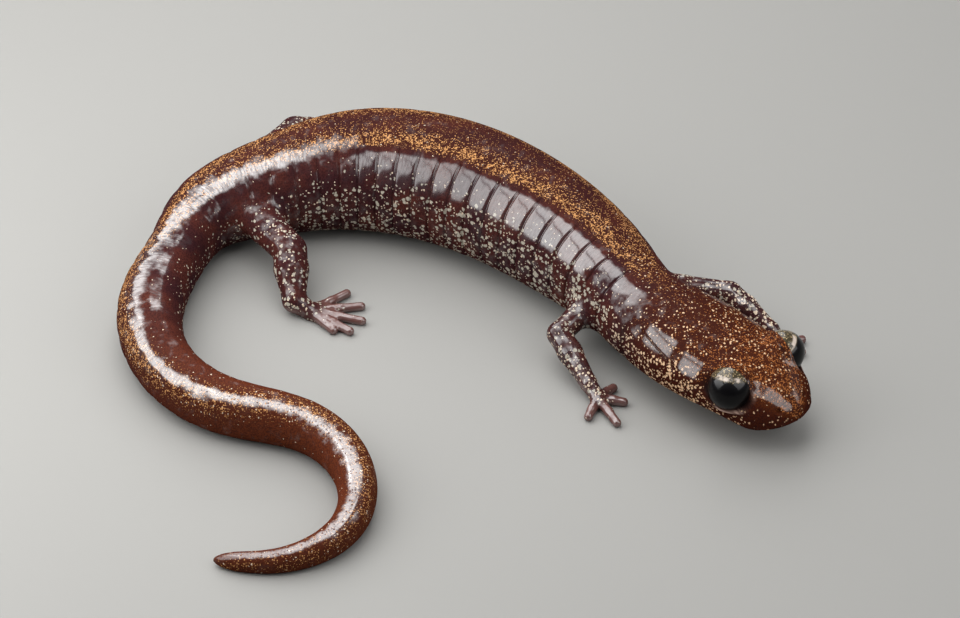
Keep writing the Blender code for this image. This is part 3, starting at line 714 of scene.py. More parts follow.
def fine_rings(m):
    """Rings of uneven depth on rump and tail, which wander by two sines as they go round."""
    turn = np.radians(m["around"])
    place = m["along"]
    for wander, turns in RING_WANDER:
        place = place + wander * np.sin(turns * turn)
    depth = np.random.default_rng(3).uniform(-RING_DEPTH, RING_DEPTH, RING_COUNT)
    here = ramp(m["along"], *RINGS_FROM) * (1 - RINGS_FADE_BY * ramp(m["along"], *RINGS_FADE))
    return np.interp(place / RING_PITCH, np.arange(RING_COUNT), depth) * here


def throat_fold(m):
    """One deep fold across the throat that climbs each side and fades behind the jaw."""
    press = THROAT_FOLD_DEPTH * bump(m["along"] - THROAT_FOLD_AT, THROAT_FOLD_WIDTH)
    return press * (1 - ramp(m["steep"], *THROAT_FOLD_TO))


# %% Mouth, cheek and nostrils
MOUTH_ANGLE, MOUTH_DROP, MOUTH_DEPTH, MOUTH_WIDTH = -22.0, 7.0, 0.26, 0.12
MOUTH_FALLS, MOUTH_DROPS, MOUTH_ENDS = (-0.6, 2.2), (6.4, 8.6), (8.0, 8.6)
LIP_SWELL, LIP_ABOVE, LIP_WIDTH, LIP_FADES = 0.07, 0.34, 0.26, (6.0, 9.0)
CHEEK_GROOVE = ((9.0, 10.4, 11.6, 12.8, 13.9), (20.0, 25.5, 29.5, 34.0, 38.5))
CHEEK_DEPTH, CHEEK_WIDTH, CHEEK_DIP, CHEEK_DIP_WIDTH = 0.24, 0.12, 0.08, 0.45
CHEEK_FROM, CHEEK_TO = (8.6, 9.8), (13.3, 14.4)
NOSTRIL_AT, NOSTRIL_ANGLE, NOSTRIL_DEPTH, NOSTRIL_WIDTH = 0.75, 52.0, 0.3, 0.17


def head_side_gap(m, line_angle):
    """Distance in millimetres round the head's side from a line at an angle above the side."""
    return np.radians(m["steep"] - line_angle) * np.maximum(HALF_WIDTH(m["along"]), 1.0)


def mouth_line(m):
    """A cut along the lips from the snout to behind the eye, under a slight swelling of the lip."""
    drop = MOUTH_ANGLE * ramp(m["along"], *MOUTH_FALLS) - MOUTH_DROP * ramp(m["along"], *MOUTH_DROPS)
    gap = head_side_gap(m, drop)
    closed = 1 - ramp(m["along"], *MOUTH_ENDS)
    lip = LIP_SWELL * bump(gap - LIP_ABOVE, LIP_WIDTH) * (1 - ramp(m["along"], *LIP_FADES))
    return MOUTH_DEPTH * bump(gap, MOUTH_WIDTH) * closed - lip


def cheek_groove(m):
    """The groove that climbs from behind the eye to the side of the neck: a line in a wider dip."""
    gap = head_side_gap(m, np.interp(m["along"], *CHEEK_GROOVE))
    here = ramp(m["along"], *CHEEK_FROM) * (1 - ramp(m["along"], *CHEEK_TO))
    return here * (CHEEK_DEPTH * bump(gap, CHEEK_WIDTH) + CHEEK_DIP * bump(gap, CHEEK_DIP_WIDTH))


def nostrils(points):
    """A small pit on each side of the snout."""
    press = np.zeros(len(points))
    for angle in (NOSTRIL_ANGLE, 180 - NOSTRIL_ANGLE):
        pit = body_point(np.array([NOSTRIL_AT]), np.radians([angle]))[0]
        press += NOSTRIL_DEPTH * bump(np.linalg.norm(points - pit, axis=1), NOSTRIL_WIDTH)
    return press


# %% Press them all in
FOLDS = (costal_grooves, tail_folds, fine_rings, throat_fold, mouth_line, cheek_groove)
FOLDS_OFF_LEGS = (0.15, 0.9)


def corner_normals(mesh):
    """The directions out of the mesh at its corners."""
    normals = np.empty(len(mesh.vertices) * 3)
    mesh.vertex_normals.foreach_get("vector", normals)
    return normals.reshape(-1, 3)


def pressed_in(points, normals):
    """Moves every corner inwards by all folds together, less near the legs."""
    m = skin_map(points)
    press = sum(fold(m) for fold in FOLDS) + nostrils(points)
    press *= ramp(m["legs_off"], *FOLDS_OFF_LEGS)
    return points - normals * press[:, None]


skin_points = pressed_in(coordinates(body.data), corner_normals(body.data))
print("Pressed in", COSTAL_GROOVES, "costal grooves on each side, and the folds of head and tail")

# %% [markdown]
# ## Eye sockets and lids
#
# A hole cut in the skin would leave a ragged rim. Instead the skin dives under the eyeball: inside
# the opening, corners are drawn in towards the eye's middle until they lie below its surface, and
# the step from one to the other is the edge of the lids. Salamanders have low, tight lids, so the
# rim is only a thin welt with a crease behind it.

# %% Openings and lids, worked out round each eye's middle
OPENING_WIDE, OPENING_UP, OPENING_DOWN = 84.0, 71.0, 62.0
RIM_STEP, RIM_WELT, RIM_WELT_WIDTH = 4.0, 0.05, 4.0
LID_CREASE, LID_CREASE_AT, LID_CREASE_WIDTH = 0.1, 20.0, 4.0
WELT_BEHIND_RIM, SOCKET_CLEARANCE, SOCKET_REACH, LID_REACH = 1.0, 0.16, 2.7, 2.1


def off_opening(points, side):
    """Degrees outside the rim of the lids' opening, which is an ellipse of angles round the look,
    with the distance from the eye's middle and the direction from it."""
    middle, ahead, up, look = eye_frame(side)
    away = points - middle
    reach = np.maximum(np.linalg.norm(away, axis=1), 1e-9)
    way = away / reach[:, None]
    off_look = np.degrees(np.arccos(np.clip(way @ look, -1, 1)))
    turn = np.arctan2(way @ up, way @ ahead)
    tall = np.where(np.sin(turn) > 0, OPENING_UP, OPENING_DOWN)
    rim = 1 / np.sqrt((np.cos(turn) / OPENING_WIDE) ** 2 + (np.sin(turn) / tall) ** 2)
    return off_look - rim, reach, way


def with_sockets(points):
    """Draws the skin in under each eye and raises the welt and the crease of the lids."""
    for side in (1, -1):
        outside, reach, way = off_opening(points, side)
        near = reach < SOCKET_REACH
        step = ramp(-outside, -RIM_STEP, RIM_STEP)
        welt = RIM_WELT * bump(outside - RIM_STEP - WELT_BEHIND_RIM, RIM_WELT_WIDTH)
        crease = LID_CREASE * bump(outside - LID_CREASE_AT, LID_CREASE_WIDTH)
        fresh = reach + (welt - crease) * (1 - ramp(reach, LID_REACH, SOCKET_REACH))
        fresh += (EYE_RADIUS - SOCKET_CLEARANCE - fresh) * step
        change = np.where(near, fresh - reach, 0.0)
        points = points + way * change[:, None]
    return points


skin_points = with_sockets(skin_points)
print("The lids open over", 2 * OPENING_WIDE, "degrees of each eye, from corner to corner")

# %% Feet and belly flat on the floor
FLOOR_ROUNDING, SINK, SINK_BELOW = 0.12, 0.06, 0.6


def settled(points):
    """Lowest corners pressed flat: a smooth maximum of height and floor, which is half of the height
    and the root of its square plus the rounding's, sunk by what that adds near the floor."""
    height = points[:, 2]
    lifted = 0.5 * (height + np.sqrt(height**2 + FLOOR_ROUNDING**2))
    lifted -= SINK * ramp(SINK_BELOW - height, 0.0, SINK_BELOW)
    points[:, 2] = np.maximum(lifted, 0.0)
    return points


skin_points = settled(skin_points)
lowest = round(float(skin_points[:, 2].min()), 3)
print("The skin measures", np.round(np.ptp(skin_points, axis=0), 2), "mm, lowest at", lowest)

# %% [markdown]
# ## Where the colours lie
#
# The flecks of this species follow the body: bronze on the band and thickest and brightest just inside its
# edges, which is partly denser flecks and partly painted sheen of the lamp above, copper on top of the head,
# white low on the flanks and on the legs, and pale specks on the cheeks, which are partly painted glints of
# the wet skin. We could paint these zones by hand, but we know where every corner lies on the body, so we
# work the zones out and store each as an attribute of the mesh. The material reads them and only adds the
# fine grain.

# %% Bronze and copper: how thick they lie at distances from the snout
BRONZE_ALONG = (
    (0.0, 4.0, 9.0, 13.0, 16.0, 18.5, 21.5, 50.0, 57.0, 62.0, 67.0, 80.0, 100.0, 116.6),
    (1.0, 0.86, 0.48, 0.4, 0.56, 0.85, 1.0, 1.0, 0.9, 0.85, 0.9, 0.9, 0.75, 0.5),
)
HEAD_TO = (13.0, 17.0)
# The bright line just inside the band's edge is partly denser flecks and partly painted sheen of the lamp
# above.
BAND_EDGE, BAND_BRIGHT_AT, BAND_BRIGHT_WIDTH, BAND_MIDDLE_SHARE = (-0.35, 0.55), 0.75, 1.1, 0.4
COPPER_FROM, COPPER_FADE = ((0.0, 4.0, 7.0), (42.0, 34.0, 8.0)), 24.0
TAIL_DUST = ((64.0, 74.0, 80.0, 86.0, 90.0, 96.0, 104.0), (0.0, 0.8, 0.9, 0.6, -0.2, -0.9, -1.1))
TAIL_DUST_WIDTH, TAIL_DUST_FROM = 1.6, (62.0, 72.0)


def head_share(m):
    """1 on the head, where flecks are scattered, and 0 behind it, where they keep to the band."""
    return 1 - ramp(m["along"], *HEAD_TO)


def tail_dust(m):
    """A bell curve across the tail, about a line that wanders from side to side of its back."""
    return bump(m["from_middle"] - np.interp(m["along"], *TAIL_DUST), TAIL_DUST_WIDTH)


def bronze_zone(m):
    """The band, times a bell curve about a line just inside its edge, which is partly denser flecks and
    partly painted sheen of the lamp above, then dust along the tail. On the head, copper above a line that
    falls from the snout to behind the eyes."""
    in_band = ramp(m["inside"], *BAND_EDGE)
    in_band *= mix(BAND_MIDDLE_SHARE, 1, bump(m["inside"] - BAND_BRIGHT_AT, BAND_BRIGHT_WIDTH))
    in_band = mix(in_band, tail_dust(m), ramp(m["along"], *TAIL_DUST_FROM))
    head = head_share(m)
    copper = head * ramp(m["steep"] - np.interp(m["along"], *COPPER_FROM), 0, COPPER_FADE)
    return np.interp(m["along"], *BRONZE_ALONG) * (in_band * (1 - head) + copper)


# %% White flecks, and pale specks that are partly painted glints
WHITE_ALONG = (
    (0.0, 6.0, 9.0, 14.0, 20.0, 55.0, 62.0, 70.0, 116.6),
    (0.8, 0.92, 0.95, 0.86, 0.8, 0.74, 0.42, 0.2, 0.14),
)
# The pale specks are partly real specks and partly painted glints of the wet skin.
SPRINKLE_ALONG = (
    (0.0, 4.0, 8.0, 12.0, 16.0, 22.0, 60.0, 116.6),
    (0.3, 0.4, 0.44, 0.38, 0.22, 0.07, 0.07, 0.07),
)
WHITE_BELOW_BAND, CHEEK_SIDE = (0.6, 4.4), (-50, -5)
WHITE_ON_LEGS, WHITE_ON_CHEEKS = 0.62, 0.38
SPRINKLE_ON_FLANKS, SPRINKLE_ON_CHEEKS, SPRINKLE_IN_DUST = 0.3, 0.42, 0.16
CHEEK_SPECKS_FROM, DUST_SPECKS_FROM = (2.0, 7.0), (68.0, 76.0)


def flank_and_cheek(m):
    """How much a corner lies low on the flank, and how much low on the side of the head."""
    head = head_share(m)
    return ramp(-m["inside"], *WHITE_BELOW_BAND) * (1 - head), ramp(-m["steep"], *CHEEK_SIDE) * head


def white_zone(m, limb):
    """Flecks that lie thick on flanks and limbs, and thinner on the cheeks."""
    flank, cheek = flank_and_cheek(m)
    white = np.interp(m["along"], *WHITE_ALONG) * (flank + WHITE_ON_CHEEKS * cheek)
    return mix(white, WHITE_ON_LEGS, limb)


def specks_and_glints_zone(m):
    """Small pale specks all over, partly real specks and partly painted glints of the wet skin, more of them
    on head, cheeks and flanks and in the tail's dust.
    """
    flank, cheek = flank_and_cheek(m)
    pale_specks_and_glints = np.interp(m["along"], *SPRINKLE_ALONG) + SPRINKLE_ON_FLANKS * flank
    pale_specks_and_glints += SPRINKLE_ON_CHEEKS * cheek * ramp(m["along"], *CHEEK_SPECKS_FROM)
    return pale_specks_and_glints + SPRINKLE_IN_DUST * tail_dust(m) * ramp(m["along"], *DUST_SPECKS_FROM)


# %% [markdown]
# ## Where the wet film lies
#
# Mucus gathers on the animal as a clear film, and it mirrors the light only where it is thick. Film
# all over would be simplest, but then the animal looks cast in plastic. So we store where the film
# is thick: a slanting sheet on each block between two grooves, a streak over rump and tail, and small
# patches on the neck, behind the eyes, on the snout and at the base of the tail.

# %% The film on the flanks
FLANK_FILM_LOW = ((15.0, 20.0, 21.6, 50.0), (48.0, 42.0, 17.0, 17.0))
FLANK_FILM_FADE, FLANK_FILM_SKEW, FLANK_FILM_SCATTER, MOST_BLOCKS = 12.0, 10.0, 5.0, 100
FLANK_FILM_TOP, FLANK_FILM_FRONT, FLANK_FILM_REAR = (-0.6, -0.2), (14.8, 15.8), (46.0, 49.0)


def block_of(along):
    """The number of the block between two grooves, and the share of it that lies behind."""
    place = (along - FIRST_GROOVE) / GROOVE_PITCH + SHOULDER_FOLDS + 1
    return np.clip(np.floor(place), 0, MOST_BLOCKS - 1).astype(int), 1 - (place - np.floor(place))


def flank_sheets(m):
    """One sheet on each block: its lower end slants, and lies at a height of its own."""
    along = m["along"]
    block, behind = block_of(along)
    scatter = np.random.default_rng(8).uniform(-FLANK_FILM_SCATTER, FLANK_FILM_SCATTER, MOST_BLOCKS)
    low = np.interp(along, *FLANK_FILM_LOW) + FLANK_FILM_SKEW * behind + scatter[block]
    sheet = ramp(m["steep"], low, low + FLANK_FILM_FADE) * (1 - ramp(m["inside"], *FLANK_FILM_TOP))
    return sheet * ramp(along, *FLANK_FILM_FRONT) * (1 - ramp(along, *FLANK_FILM_REAR))


# %% The streak over rump and tail: its line off the band's middle, and its width on either side
STREAK = (
    (46.0, 52.0, 58.0, 62.0, 65.0, 71.0, 76.0, 80.0, 84.0, 90.0, 99.0, 105.0, 115.0),
    (-2.1, -2.0, -1.45, -0.85, -0.35, -0.9, -0.4, 0.2, 0.05, -0.25, -0.3, -0.55, -0.2),
)
STREAK_BELOW = (
    (56.0, 64.0, 74.0, 79.0, 84.0, 96.0, 103.0, 109.0),
    (0.65, 0.85, 0.7, 0.4, 0.25, 0.35, 0.7, 0.3),
)
STREAK_ABOVE = (
    (56.0, 64.0, 74.0, 80.0, 88.0, 96.0, 103.0, 109.0),
    (0.65, 0.9, 0.75, 0.85, 0.55, 0.5, 0.65, 0.3),
)
STREAK_FROM = (44.0, 51.0)


def tail_streak(m):
    """A bell curve across the body about the streak's line, wider on one side than on the other."""
    off = m["from_middle"] - np.interp(m["along"], *STREAK)
    below, above = np.interp(m["along"], *STREAK_BELOW), np.interp(m["along"], *STREAK_ABOVE)
    return bump(off, np.where(off < 0, below, above)) * ramp(m["along"], *STREAK_FROM)


# %% The patches: where each begins and ends, and how soft its ends are
NECK_FILM, EYE_FILM = ((10.6, 12.7, 0.6), (31, 50, 7)), ((7.6, 8.9, 0.5), (25, 45, 7))
SNOUT_FILM, SNOUT_FILM_SLOPE = ((0.6, 3.0, 0.5), (68, 83, 5)), 5.0
TAIL_BASE_FILMS = ((65.8, 67.2, 0.6), (69.0, 70.6, 0.7), (72.4, 75.5, 1.0))
TAIL_BASE_ROUND = (-2.75, -1.9, 0.35)
TAIL_BASE_THICK, DAMP_THICK, DAMP_ALONG, DAMP_FROM = 0.5, 0.22, (15, 62, 4), (-40, 0)


def window(value, low, high, edge):
    """1 between two values, falling to 0 over an edge outside them."""
    return ramp(value, low - edge, low) * (1 - ramp(value, high, high + edge))


def film_patches(m):
    """Windows of distance and steepness, one of them slanted on the snout, three at the base of the
    tail, and thin damp all over the flanks."""
    along, steep = m["along"], m["steep"]
    neck, behind_eye = (window(along, *a) * window(steep, *b) for a, b in (NECK_FILM, EYE_FILM))
    snout = window(along, *SNOUT_FILM[0]) * window(steep + SNOUT_FILM_SLOPE * along, *SNOUT_FILM[1])
    tail_base = TAIL_BASE_THICK * sum(window(along, *place) for place in TAIL_BASE_FILMS)
    tail_base = tail_base * window(m["from_middle"], *TAIL_BASE_ROUND)
    damp = DAMP_THICK * window(along, *DAMP_ALONG) * (1 - ramp(m["inside"], *FLANK_FILM_TOP))
    return neck, behind_eye, snout, tail_base, damp * ramp(steep, *DAMP_FROM)


# %% The film on the limbs, and how much the film shines
FILM_ON_ARMS, FILM_ON_HIND_LEGS, FILM_ON_TOES, HIND_LEGS_FROM = 0.48, 0.27, 0.7, (30.0, 45.0)
GLOSS_ALONG = (
    (0.0, 12.0, 22.0, 30.0, 36.0, 46.0, 50.0, 54.0, 64.0, 74.0, 86.0, 106.0, 113.0, 116.6),
    (0.3, 0.42, 0.6, 0.5, 0.36, 0.42, 0.5, 1.0, 1.0, 0.88, 0.95, 0.85, 0.6, 0.15),
)
GLOSS_ON_LEGS = 0.6
WRINKLED_ALONG = (
    (0.0, 12.0, 22.0, 36.0, 46.0, 60.0, 75.0, 85.0, 116.6),
    (0.35, 0.45, 0.25, 0.3, 0.9, 1.0, 0.9, 0.5, 0.4),
)
WRINKLED_ON_LEGS = 0.5


def wet_film(m, limb, toes):
    """On the body the thickest of sheets, streak and patches, and on the limbs a thickness each."""
    body_film = np.max([flank_sheets(m), tail_streak(m), *film_patches(m)], axis=0)
    limb_film = mix(FILM_ON_ARMS, FILM_ON_HIND_LEGS, ramp(m["along"], *HIND_LEGS_FROM))
    return body_film * (1 - limb) + mix(limb_film, FILM_ON_TOES, toes) * limb


# %% Limbs and toes
LIMB_EDGE, LIMB_OFF_BODY, TOES_OFF_LEGS = (-0.6, 0.35), (-0.1, 0.5), (0.0, 0.3)
TOES_FROM_SOLE, TOES_WITHIN, TOES_UP_TO = (0.5, 1.6), 5.0, (0.8, 1.4)


def limb_share(m):
    """1 on the limbs and 0 on the body, with a soft edge where the skin leaves the body."""
    limb = 1 - ramp(m["legs_off"] - np.maximum(m["body_off"], 0.0), *LIMB_EDGE)
    return limb * ramp(m["body_off"], *LIMB_OFF_BODY)


def toe_share(m, points):
    """How much a corner belongs to the toes: 0 at the sole's middle, 1 further out, low down only."""
    share = np.zeros(len(points))
    for leg in LEGS.values():
        away = np.linalg.norm(points - in_place(*leg["sole"]), axis=1)
        share = np.maximum(share, ramp(away, *TOES_FROM_SOLE) * (away < TOES_WITHIN))
    return share * (1 - ramp(points[:, 2], *TOES_UP_TO)) * (1 - ramp(m["legs_off"], *TOES_OFF_LEGS))


# %% Lids
LID_CLOSE, LID_ABOVE, LID_FRONT = (2.0, 2.4), (0.15, 0.5), (-0.5, 0.1)
UPPER_LID_FROM, UPPER_LID_TO = (-2, 3), (14, 20)
# The rim line is the lower lid's pale margin, lightened further as a painted highlight.
RIM_LINE_AT, RIM_LINE_WIDTH = 4.0, 1.6
# The DARK_ values place painted shade: a dark ring in the crease round each eye, where the socket's shadow
# falls.
DARK_BELOW_AT, DARK_WIDTH, DARK_BEHIND, DARK_BEHIND_WIDTH = -1.5, 3.5, 0.6, 5.0


def lid_zones(points):
    """The upper lids, the thin rim of the lower lids, which is a pale margin lightened as a painted
    highlight, and a dark ring of painted shade in the crease round them, each by its degrees outside the
    opening."""
    upper, rim, crease = (np.zeros(len(points)) for _ in range(3))
    for side in (1, -1):
        outside, reach, way = off_opening(points, side)
        _, ahead, up, _ = eye_frame(side)
        close = 1 - ramp(reach, *LID_CLOSE)
        above = ramp(way @ up, *LID_ABOVE)
        lid = ramp(outside, *UPPER_LID_FROM) * (1 - ramp(outside, *UPPER_LID_TO))
        upper = np.maximum(upper, close * above * lid)
        # line is partly the lower lid's pale margin and partly a painted highlight along it.
        line = ramp(way @ ahead, *LID_FRONT) * bump(outside - RIM_LINE_AT, RIM_LINE_WIDTH)
        rim = np.maximum(rim, close * (1 - above) * line)
        # dark is painted shade in the crease round the eye, with more of it in the crease above the upper
        # lid.
        dark = bump(outside - mix(DARK_BELOW_AT, RIM_STEP, above), DARK_WIDTH + above)
        dark += DARK_BEHIND * above * bump(outside - LID_CREASE_AT, DARK_BEHIND_WIDTH)
        crease = np.maximum(crease, close * np.minimum(dark, 1.0))
    return upper, rim, crease


# %% Store the zones at every corner
UPPER_LID_BRONZE, BARE_TOES = 0.45, 0.75
HEAD_BROWN_TO, SNOUT_TO, SNOUT_TOP, BELLY_BELOW = (9.0, 19.0), (2.5, 7.5), (32, 58), (25, 60)


def colour_zones(points):
    """What the skin's material reads: shares from 0 to 1, and two distances in metres."""
    m = skin_map(points)
    limb, toes = limb_share(m), toe_share(m, points)
    upper_lid, lid_rim_and_highlight, lid_crease_shade = lid_zones(points)
    flecked = (1 - lid_crease_shade) * (1 - lid_rim_and_highlight) * (1 - BARE_TOES * toes)
    return {
        "bronze": np.maximum(bronze_zone(m) * (1 - limb), UPPER_LID_BRONZE * upper_lid),
        "white": white_zone(m, limb) * flecked,
        "specks_and_glints": specks_and_glints_zone(m) * flecked,
        "toes": toes,
        "head": (1 - ramp(m["along"], *HEAD_BROWN_TO)) * (1 - limb),
        "snout": (1 - ramp(m["along"], *SNOUT_TO)) * ramp(m["steep"], *SNOUT_TOP),
        "belly": ramp(-m["steep"], *BELLY_BELOW) * (1 - limb),
        "wrinkled": np.interp(m["along"], *WRINKLED_ALONG) * (1 - WRINKLED_ON_LEGS * limb),
        "film": wet_film(m, limb, toes),
        "gloss": np.interp(m["along"], *GLOSS_ALONG) * (1 - limb) + GLOSS_ON_LEGS * limb,
        "lid_rim_and_highlight": lid_rim_and_highlight,
        "lid_crease_shade": lid_crease_shade,
        "along": m["along"] * MM,
        "round": m["from_middle"] * MM,
    }


def store(mesh, name, values):
    """Stores one number for each corner of the mesh under a name."""
    mesh.attributes.new(name, "FLOAT", "POINT").data.foreach_set("value", np.asarray(values, np.float32))


zones = colour_zones(skin_points)
for zone, values in zones.items():
    store(body.data, zone, values)
print("Stored", len(zones), "zones")

# %% The skin is a finished piece, in metres
body.name = "skin"
body.data.name = "skin"
body.data.vertices.foreach_set("co", (skin_points * MM).ravel())
body.data.update()
body.data.shade_smooth()
SKIN_STANDS_FOR = [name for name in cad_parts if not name.startswith("eye")]
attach(body, "root")
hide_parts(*SKIN_STANDS_FOR)
print("The skin stands for", len(SKIN_STANDS_FOR), "solids")

# %% [markdown]
# ## Eyes
#
# A salamander's eye is a dark ball with a big black pupil and an iris that carries brass flecks,
# seen through a clear wet cornea. A UV sphere would do for the ball. We work out our own, with its
# poles along the look, so that rings round the pole are rings of the iris. For the material we store
# two numbers at each corner: its angle from the pole, and its height on the ball.

# %% An eyeball with its pole along the look
EYE_ROWS, EYE_COLUMNS = 36, 56
CORNEA_RISE, CORNEA_SPREAD, IRIS_ROLL = 0.05, 42.0, 0.23


def eyeball(name, side):
    """Rings of a sphere round the look. The cornea stands out a little by a bell curve of the angle
    from the look. Stored are that angle, over a right angle, and the height towards the eye's up,
    rolled back a little so that it is level on the tilted ball."""
    middle, ahead, up, look = eye_frame(side)
    fall = np.linspace(0, np.pi, EYE_ROWS + 1)[1:-1, None, None]
    turn = (np.arange(EYE_COLUMNS) * 2 * np.pi / EYE_COLUMNS)[:, None]
    around = (np.cos(turn) * ahead + np.sin(turn) * up) * side
    way = np.cos(fall) * look + np.sin(fall) * around[None]
    reach = EYE_RADIUS + CORNEA_RISE * bump(np.degrees(fall), CORNEA_SPREAD)
    rings = middle + reach * way
    front, rear = middle + look * (EYE_RADIUS + CORNEA_RISE), middle - look * EYE_RADIUS
    points = np.vstack([rings.reshape(-1, 3), [front, rear]])
    fans = [
        end_fan(0, EYE_COLUMNS, len(points) - 2, side < 0),
        end_fan((EYE_ROWS - 2) * EYE_COLUMNS, EYE_COLUMNS, len(points) - 1, side > 0),
    ]
    faces = tube_faces(EYE_ROWS - 1, EYE_COLUMNS)
    ball = mesh_from(name, points * MM, faces if side < 0 else faces[:, ::-1], np.vstack(fans))
    from_look = (points - middle) @ look / np.linalg.norm(points - middle, axis=1)
    store(ball.data, "from_look", np.degrees(np.arccos(np.clip(from_look, -1, 1))) / 90)
    store(ball.data, "up", (points - middle) @ (up - IRIS_ROLL * ahead) / EYE_RADIUS)
    ball.data.shade_smooth()
    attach(ball, "root")
    return ball


EYEBALLS = {node: eyeball(ball, side) for node, ball, side in (
    ("eye_right", "eyeball_right", 1),
    ("eye_left", "eyeball_left", -1),
)}
for node, ball in EYEBALLS.items():
    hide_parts(node)
print("Each eyeball has", len(EYEBALLS["eye_right"].data.polygons), "faces")

# %% [markdown]
# ## Shader helpers
#
# Materials are built from nodes. They could be wired by hand in the editor, but some small functions
# keep that readable here: one adds any node with its inputs, either values or links, and the rest
# add the few kinds that we use most.


# %% Adding nodes
def add(tree, kind, inputs=None, **settings):
    """Adds a node. Each input, by name or number, is linked if it is a socket and set otherwise."""
    made = tree.nodes.new(kind)
    for name, value in settings.items():
        setattr(made, name, value)
    for name, value in (inputs or {}).items():
        if isinstance(value, bpy.types.NodeSocket):
            tree.links.new(value, made.inputs[name])
        else:
            made.inputs[name].default_value = value
    return made


def maths(tree, operation, *values):
    """The result of one Math node."""
    return add(tree, "ShaderNodeMath", dict(enumerate(values)), operation=operation).outputs[0]


def between(tree, value, low, high, to_low=0.0, to_high=1.0):
    """A value mapped from one range to another by the smooth step, and held at its ends."""
    inputs = {"Value": value, "From Min": low, "From Max": high, "To Min": to_low, "To Max": to_high}
    return add(tree, "ShaderNodeMapRange", inputs, interpolation_type="SMOOTHSTEP").outputs["Result"]


MIX_COLOUR_A, MIX_COLOUR_B, MIX_COLOUR_RESULT = 6, 7, 2


def mixed(tree, share, first, second):
    """A colour between two others. The Mix node has sockets for numbers and vectors too, under the
    same names, so its colours go by their places."""
    inputs = {"Factor": share, MIX_COLOUR_A: first, MIX_COLOUR_B: second}
    return add(tree, "ShaderNodeMix", inputs, data_type="RGBA").outputs[MIX_COLOUR_RESULT]


def noise(tree, where, scale, detail=2.0):
    """Plain noise, from about 0.2 to 0.8. The scale is its repeats for each metre."""
    inputs = {"Vector": where, "Scale": scale, "Detail": detail}
    return add(tree, "ShaderNodeTexNoise", inputs).outputs["Fac"]


def attribute(tree, name):
    """A number stored at the mesh's corners."""
    return add(tree, "ShaderNodeAttribute", attribute_name=name).outputs["Fac"]


def new_group(name, inputs, outputs):
    """An empty node group with named sockets: a Vector for Where, numbers for the rest."""
    tree = bpy.data.node_groups.new(name, "ShaderNodeTree")
    for socket, value in inputs.items():
        kind = "NodeSocketVector" if value is None else "NodeSocketFloat"
        made = tree.interface.new_socket(socket, in_out="INPUT", socket_type=kind)
        if value is not None:
            made.default_value = value
    for socket in outputs:
        tree.interface.new_socket(socket, in_out="OUTPUT", socket_type="NodeSocketFloat")
    return tree, tree.nodes.new("NodeGroupInput").outputs, tree.nodes.new("NodeGroupOutput").inputs


# %% [markdown]
# ## Flecks
#
# Bronze dust, white flecks and the brass in the iris are one effect at different sizes: small spots
# of pigment, each with its own size, more and larger where they lie thick. Thresholded noise would
# give worms that join up. Voronoi cells give separate spots: each cell has a random number, and a
# spot shows where that number is below the thickness asked for.

# %% The group for flecks
FLECK_LEAST, FLECK_GROWTH, FLECK_EDGE, SWIRL_SCALE = 0.22, 0.5, 0.1, 1.6


def ragged_place(tree, given):
    """The place shifted by coloured noise, so that no spot is round."""
    swirl = {"Vector": given["Where"], "Scale": maths(tree, "MULTIPLY", given["Scale"], SWIRL_SCALE)}
    swirl = add(tree, "ShaderNodeTexNoise", swirl).outputs["Color"]
    centred = add(tree, "ShaderNodeVectorMath", {0: swirl, 1: (0.5, 0.5, 0.5)}, operation="SUBTRACT")
    size = maths(tree, "DIVIDE", given["Ragged"], given["Scale"])
    shift = {0: centred.outputs[0], "Scale": size}
    shift = add(tree, "ShaderNodeVectorMath", shift, operation="SCALE").outputs[0]
    return add(tree, "ShaderNodeVectorMath", {0: given["Where"], 1: shift}, operation="ADD").outputs[0]


def fleck_group():
    """What the density has over a cell's random number is spare. Where it is above 0 the cell has a
    spot, whose radius is the least one plus the growth times the spare."""
    tree, given, result = new_group(
        "flecks", {"Where": None, "Scale": 2500.0, "Density": 0.5, "Ragged": 0.3}, ["Mask", "Random"]
    )
    cells = {"Vector": ragged_place(tree, given), "Scale": given["Scale"]}
    cells = add(tree, "ShaderNodeTexVoronoi", cells)
    random = add(tree, "ShaderNodeSeparateColor", {0: cells.outputs["Color"]}).outputs[0]
    spare = maths(tree, "SUBTRACT", given["Density"], random)
    radius = maths(tree, "MULTIPLY_ADD", spare, FLECK_GROWTH, FLECK_LEAST)
    radius = maths(tree, "MULTIPLY", radius, maths(tree, "GREATER_THAN", spare, 0.0))
    gap = maths(tree, "SUBTRACT", radius, cells.outputs["Distance"])
    tree.links.new(between(tree, gap, 0.0, FLECK_EDGE), result["Mask"])
    tree.links.new(random, result["Random"])
    return tree


FLECKS = fleck_group()


def flecks(tree, where, scale, density, ragged=0.6):
    """Places the group and gives its mask and its random number."""
    inputs = {"Where": where, "Scale": scale, "Density": density, "Ragged": ragged}
    made = add(tree, "ShaderNodeGroup", inputs, node_tree=FLECKS)
    return made.outputs["Mask"], made.outputs["Random"]


print("The group for flecks has", len(FLECKS.nodes), "nodes")

# %% [markdown]
# ## The skin's material
#
# Under the flecks lies a dark ground: purple-brown on the flanks, warmer on head and tail, coppery on
# the snout, pinkish on the toes. Over it lies the film. One glossy shader all over would be simpler,
# but where the film is thin the real skin is nearly matt, and its colours stay deep. So the base has
# no gloss of its own, and all gloss comes from a coat that is weighted by the film.

